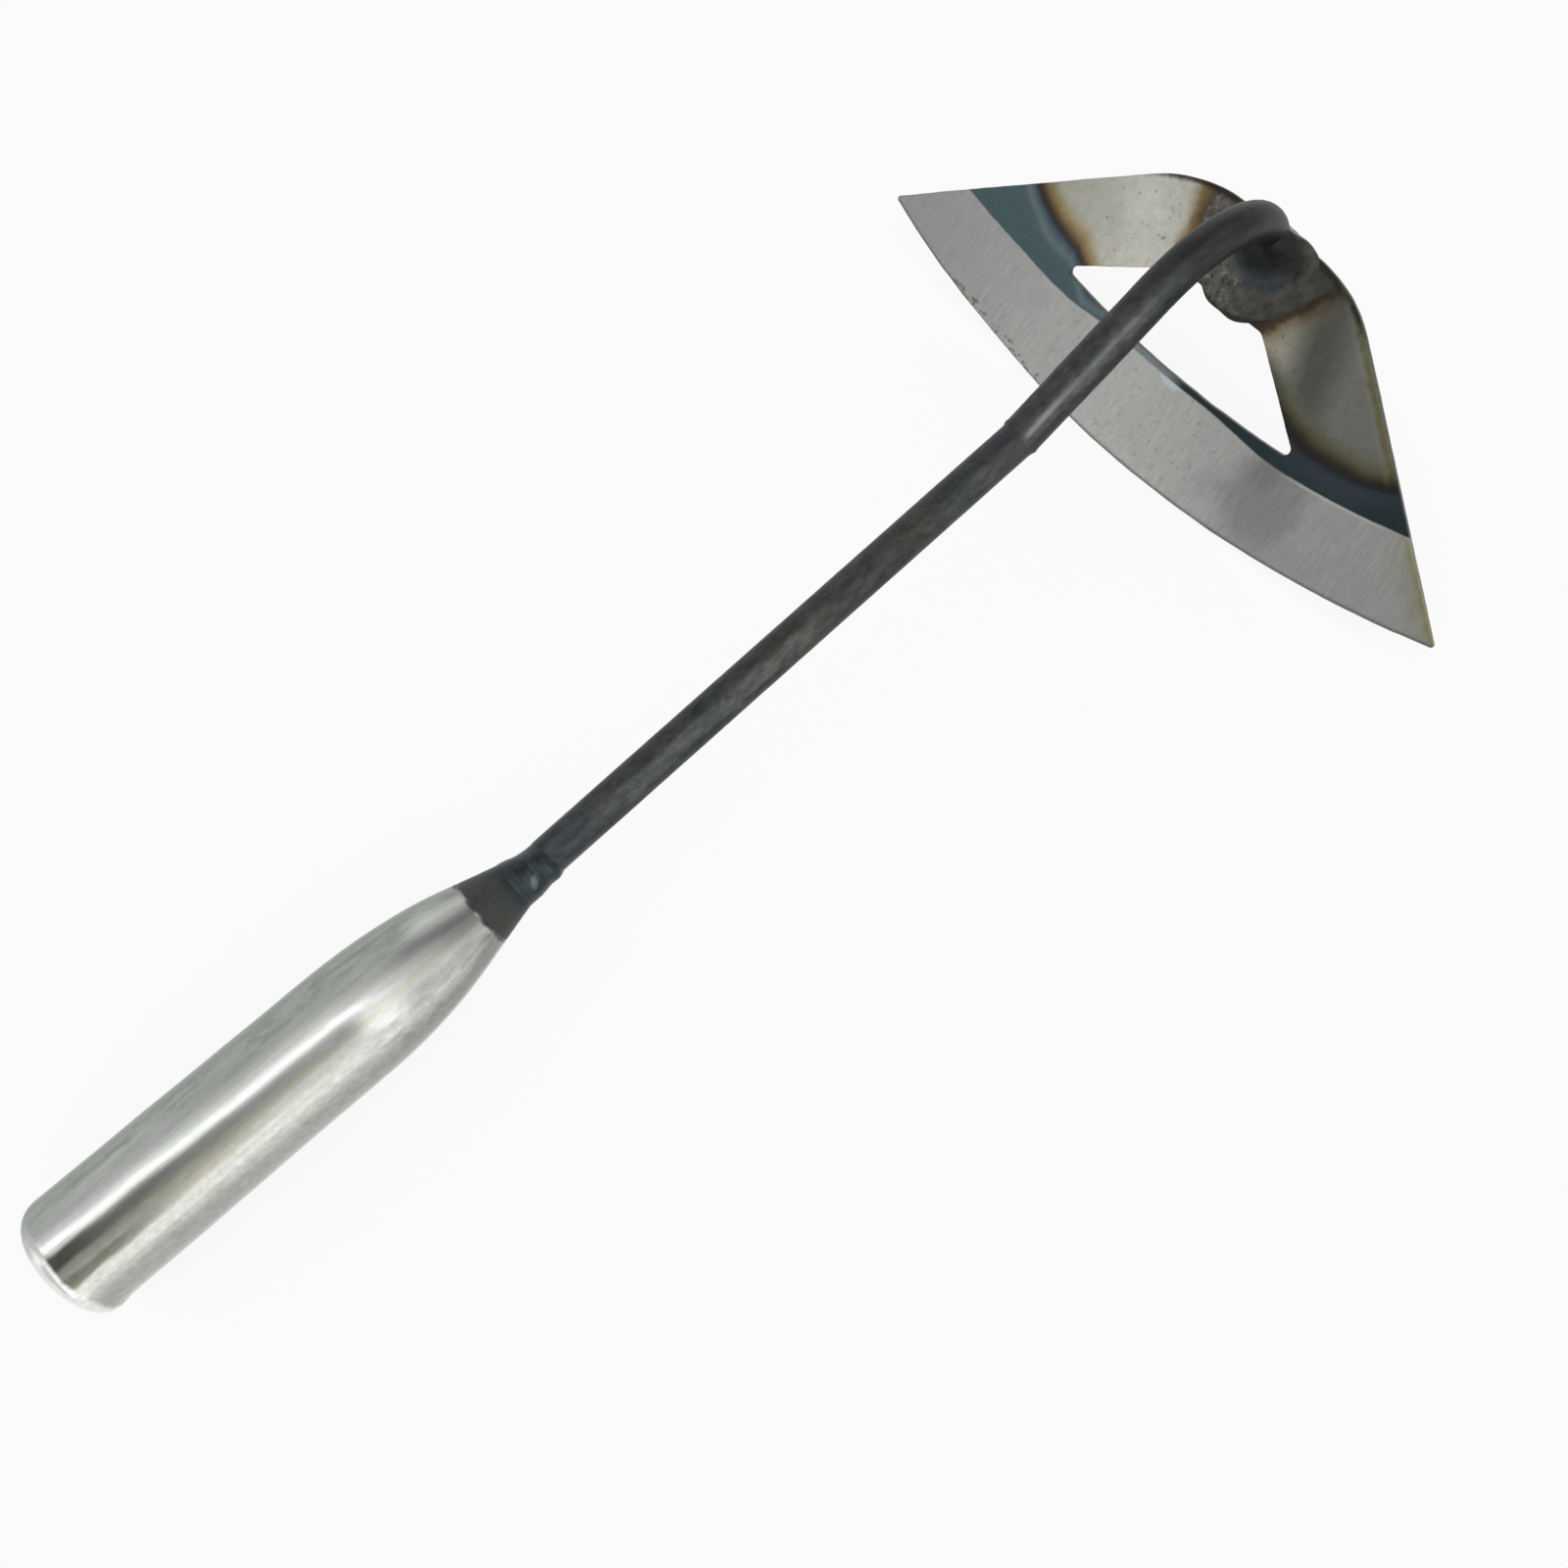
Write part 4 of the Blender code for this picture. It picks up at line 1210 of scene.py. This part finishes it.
def blade():
    """Ground plate with rounded rims: a column of points at each place of an outline, faces between."""
    spacing = 0.0008
    outer = roughened(blade_outline(spacing), 0.00009, 11)
    hole = roughened(opening_outline(spacing), 0.00012, 12)[::-1]
    bm = bmesh.new()
    front_rims, back_rims = [], []
    for outline in (outer, hole):
        placed = list(zip(outline, outline_normals(outline)))
        rows = [[bm.verts.new(BLADE @ place) for place in rim_column(*pair)] for pair in placed]
        for before, row in zip(rows[-1:] + rows, rows):
            for j in range(len(row) - 1):
                bm.faces.new((before[j], row[j], row[j + 1], before[j + 1]))
        inner = [point + inward * RIM_INSET for point, inward in placed]
        back_rims.append([(point, row[0]) for point, row in zip(inner, rows)])
        front_rims.append([(point, row[-1]) for point, row in zip(inner, rows)])
    fill_face(bm, front_rims, front_level, 0.0011, True)
    fill_face(bm, back_rims, back_level, 0.0022, False)
    for vert in [vert for vert in bm.verts if not vert.link_faces]:
        bm.verts.remove(vert)
    add_piece("blade", bm, blade_steel, "blade_plate")


def apex_bead(rod_end, heading):
    """Crusty pad of weld that runs up the rod in a smooth fillet and laps over both edges."""
    to_blade = BLADE.inverted()
    foot = to_blade @ rod_end
    along = to_blade.to_3x3() @ heading_vector(heading)
    foot -= along * foot.z / along.z
    middle = Vector((foot.x + MOUND_SIDE, foot.y))

    def reach(angle):
        tall = PAD_HEAD if sin(angle) > 0 else PAD_FOOT
        wide_share = abs(cos(angle) / PAD_HALF_WIDTH) ** PAD_SQUARENESS
        tall_share = abs(sin(angle) / tall) ** PAD_SQUARENESS
        limit = (wide_share + tall_share) ** (-1 / PAD_SQUARENESS)
        return limit * (1 + 0.07 * uneven(cos(angle), sin(angle), 0, 0.32, 31))

    def place_at(angle, distance, share, level_at):
        u = middle.x + distance * cos(angle) + PAD_SLANT * share * sin(angle)
        h = middle.y + distance * sin(angle)
        return BLADE @ Vector((u, h, level_at(u, h, distance, share)))

    def height(u, h, distance, share):
        closeness = max(0, 1 - distance / MOUND_RADIUS)
        pad = PAD_HEIGHT * smoothstep(share, 1, 0.35) + 0.0001
        crust = 0.0003 * uneven(u, h, 0, 0.0019, 32) + 0.00012 * uneven(u, h, 0, 0.0008, 33)
        fade = smoothstep(share, 1, 0.75)
        return pad + MOUND_PEAK * closeness**MOUND_CURVE + crust * fade * (1 - 0.8 * closeness)

    def skirt(u, h, distance, share):
        """Underside of the pad's rim, lower where it laps over the opening or the top."""
        over_opening = smoothstep(h, OPENING_LEFT_HEAD[1] + 0.0002, OPENING_LEFT_HEAD[1] - 0.0008)
        over = max(over_opening, smoothstep(h, BLADE_TOP - 0.0004, BLADE_TOP))
        return -0.00015 - 0.0009 * over

    rings, spoke_count = 56, 144
    angles = [2 * pi * i / spoke_count for i in range(spoke_count)]
    spokes = [(angle, reach(angle)) for angle in angles]
    rows = [[place_at(0, 0, 0, height)]]
    for share in spaced(1 / rings, 1, 1 / rings):
        rows.append([place_at(angle, far * share, share, height) for angle, far in spokes])
    rows.append([place_at(angle, far * 0.985, 1, skirt) for angle, far in spokes])
    rows.append([BLADE @ Vector((*middle, -0.0003))])
    add_piece("apex_bead", shell(rows), weld_crust, "apex_weld")


handle_skin()
collar_skin()
neck_bead()
joint_ring()
swept = rod_tree()
straight_rod(swept)
rod_end, rod_heading = bent_rod(swept)
blade()
apex_bead(rod_end, rod_heading)


# Studio


def floor():
    """Pale floor, white to the camera and to reflections, that keeps a soft shadow of the tool."""
    bpy.ops.mesh.primitive_plane_add(size=8)
    plane = bpy.context.object
    plane.name = "floor"
    material = bpy.data.materials.new("pale_floor")
    material.use_nodes = True
    tree = material.node_tree
    shader = tree.nodes["Principled BSDF"]
    shader.inputs["Base Color"].default_value = (0.82, 0.82, 0.82, 1)
    shader.inputs["Roughness"].default_value = 0.9
    shader.inputs["Specular IOR Level"].default_value = 0
    paths = tree.nodes.new("ShaderNodeLightPath").outputs
    seen = Value(tree, paths["Is Camera Ray"]) + Value(tree, paths["Is Glossy Ray"])
    seen = (seen + Value(tree, paths["Is Transmission Ray"])).math("MINIMUM", 1) * FLOOR_GLOW
    white = seen.node("ShaderNodeEmission", {}, {"Color": (1, 1, 1, 1), "Strength": 1})
    plain = Value(tree, shader.outputs["BSDF"])
    mixed = seen.node("ShaderNodeMixShader", {}, {"Fac": seen, "Shader": plain, "Shader_001": white})
    tree.links.new(mixed.socket, tree.nodes["Material Output"].inputs["Surface"])
    plane.data.materials.append(material)


def studio_world():
    """Soft studio: a bright bank on each side of the tool and a darker ceiling where the camera is.

    x is how far a direction leans to the blade's end, swing its turn about the tool's length."""
    world = bpy.data.worlds.new("studio")
    bpy.context.scene.world = world
    world.use_nodes = True
    tree = world.node_tree
    background = tree.nodes["Background"]
    direction = Value(tree, tree.nodes.new("ShaderNodeTexCoord").outputs["Generated"])
    parts = tree.nodes.new("ShaderNodeSeparateXYZ")
    tree.links.new(direction.socket, parts.inputs[0])
    x, y, z = (Value(tree, part) for part in parts.outputs)
    swing = (0 - y).math("ARCTAN2", z) * (180 / pi)
    slanted = swing - (x + 0.3) * 78 + smooth(x, -0.36, -0.46) * 4.6
    full = 2.4

    def lit(turned, *lights):
        """Strength of the light from (angle, strength) pairs round the tool."""
        stops = greys(*((angle, strength / full) for angle, strength in lights))
        return ramp_over(turned, -180, 180, stops) * full

    beside_tube = lit(
        slanted,
        (-180, 0.6), (-110, 0.7), (-75, 0.85), (-50, 0.72), (-36, 0.68), (-28, 0.78),
        (-18, 1), (-13, 1.15), (-8, 1.5), (-4, 2.1), (0, 2.3), (4, 2.1),
        (9, 1.15), (14, 0.75), (20, 0.56), (28, 0.56), (42, 0.92), (56, 1.3),
        (70, 1.35), (84, 1.3), (98, 1.2), (112, 0.9), (126, 0.82), (180, 0.7),
    )
    beside_rods = lit(
        slanted,
        (-180, 0.6), (-105, 0.95), (-91, 0.95), (-77, 0.75), (-63, 0.4), (-49, 0.32),
        (-35, 0.5), (-21, 0.7), (-7, 1), (7, 1.2), (21, 1), (35, 0.95),
        (49, 1.05), (63, 0.85), (77, 0.72), (91, 0.6), (120, 0.5), (180, 0.5),
    )
    far_end = lit(
        swing,
        (-180, 0.4), (-95, 0.5), (-75, 1.4), (-55, 1.3), (-35, 0.4), (-5, 0.3),
        (12, 1.2), (34, 1.3), (52, 0.4), (95, 0.5), (180, 0.4),
    )
    beside_tube = beside_tube * (1 - band(slanted, 8, 18, 58, 76) * smooth(x, -0.3, -0.45) * 0.52)
    beside_tube = beside_tube + band(slanted, 4, 18, 40, 54) * smooth(x, -0.26, -0.14) * 1.3
    beside_tube = beside_tube - band(slanted, -14, -7, 1, 8) * smooth(x, -0.2, -0.08) * 0.6
    beside_rods = beside_rods * (1 - smooth(x, 0.15, 0.35) * 0.25)
    studio = mix_value(smooth(x, -0.1, 0.1), beside_tube, beside_rods)
    at_butt = mix_value(smooth(y, 0.05, 0.35), 1.3, 0.9)
    studio = mix_value(smooth(x, -0.55, -0.62), studio, at_butt)
    near_end = mix_value(smooth(y, 0.02, 0.3), 0.72, 1.18)
    studio = mix_value(smooth(x, -0.8, -0.87), studio, near_end)
    studio = mix_value(smooth(x, 0.45, 0.65), studio, far_end)
    camera_ray = Value(tree, tree.nodes.new("ShaderNodeLightPath").outputs["Is Camera Ray"])
    background.inputs["Color"].default_value = (1, 1, 1, 1)
    tree.links.new(mix_value(camera_ray, studio, 1).socket, background.inputs["Strength"])


def camera():
    """The place and lens that the photograph was taken with."""
    data = bpy.data.cameras.new("camera")
    data.lens = CAMERA_LENS
    data.sensor_width = 36
    data.shift_x, data.shift_y = CAMERA_SHIFT
    data.clip_start = 0.01
    eye = bpy.data.objects.new("camera", data)
    eye.location = CAMERA_PLACE
    eye.rotation_euler = [radians(turn) for turn in CAMERA_TURN]
    bpy.context.scene.collection.objects.link(eye)
    bpy.context.scene.camera = eye


floor()
studio_world()
camera()
bpy.context.scene.view_settings.view_transform = "Standard"


def corners(box):
    return [list(corner) for corner in box]
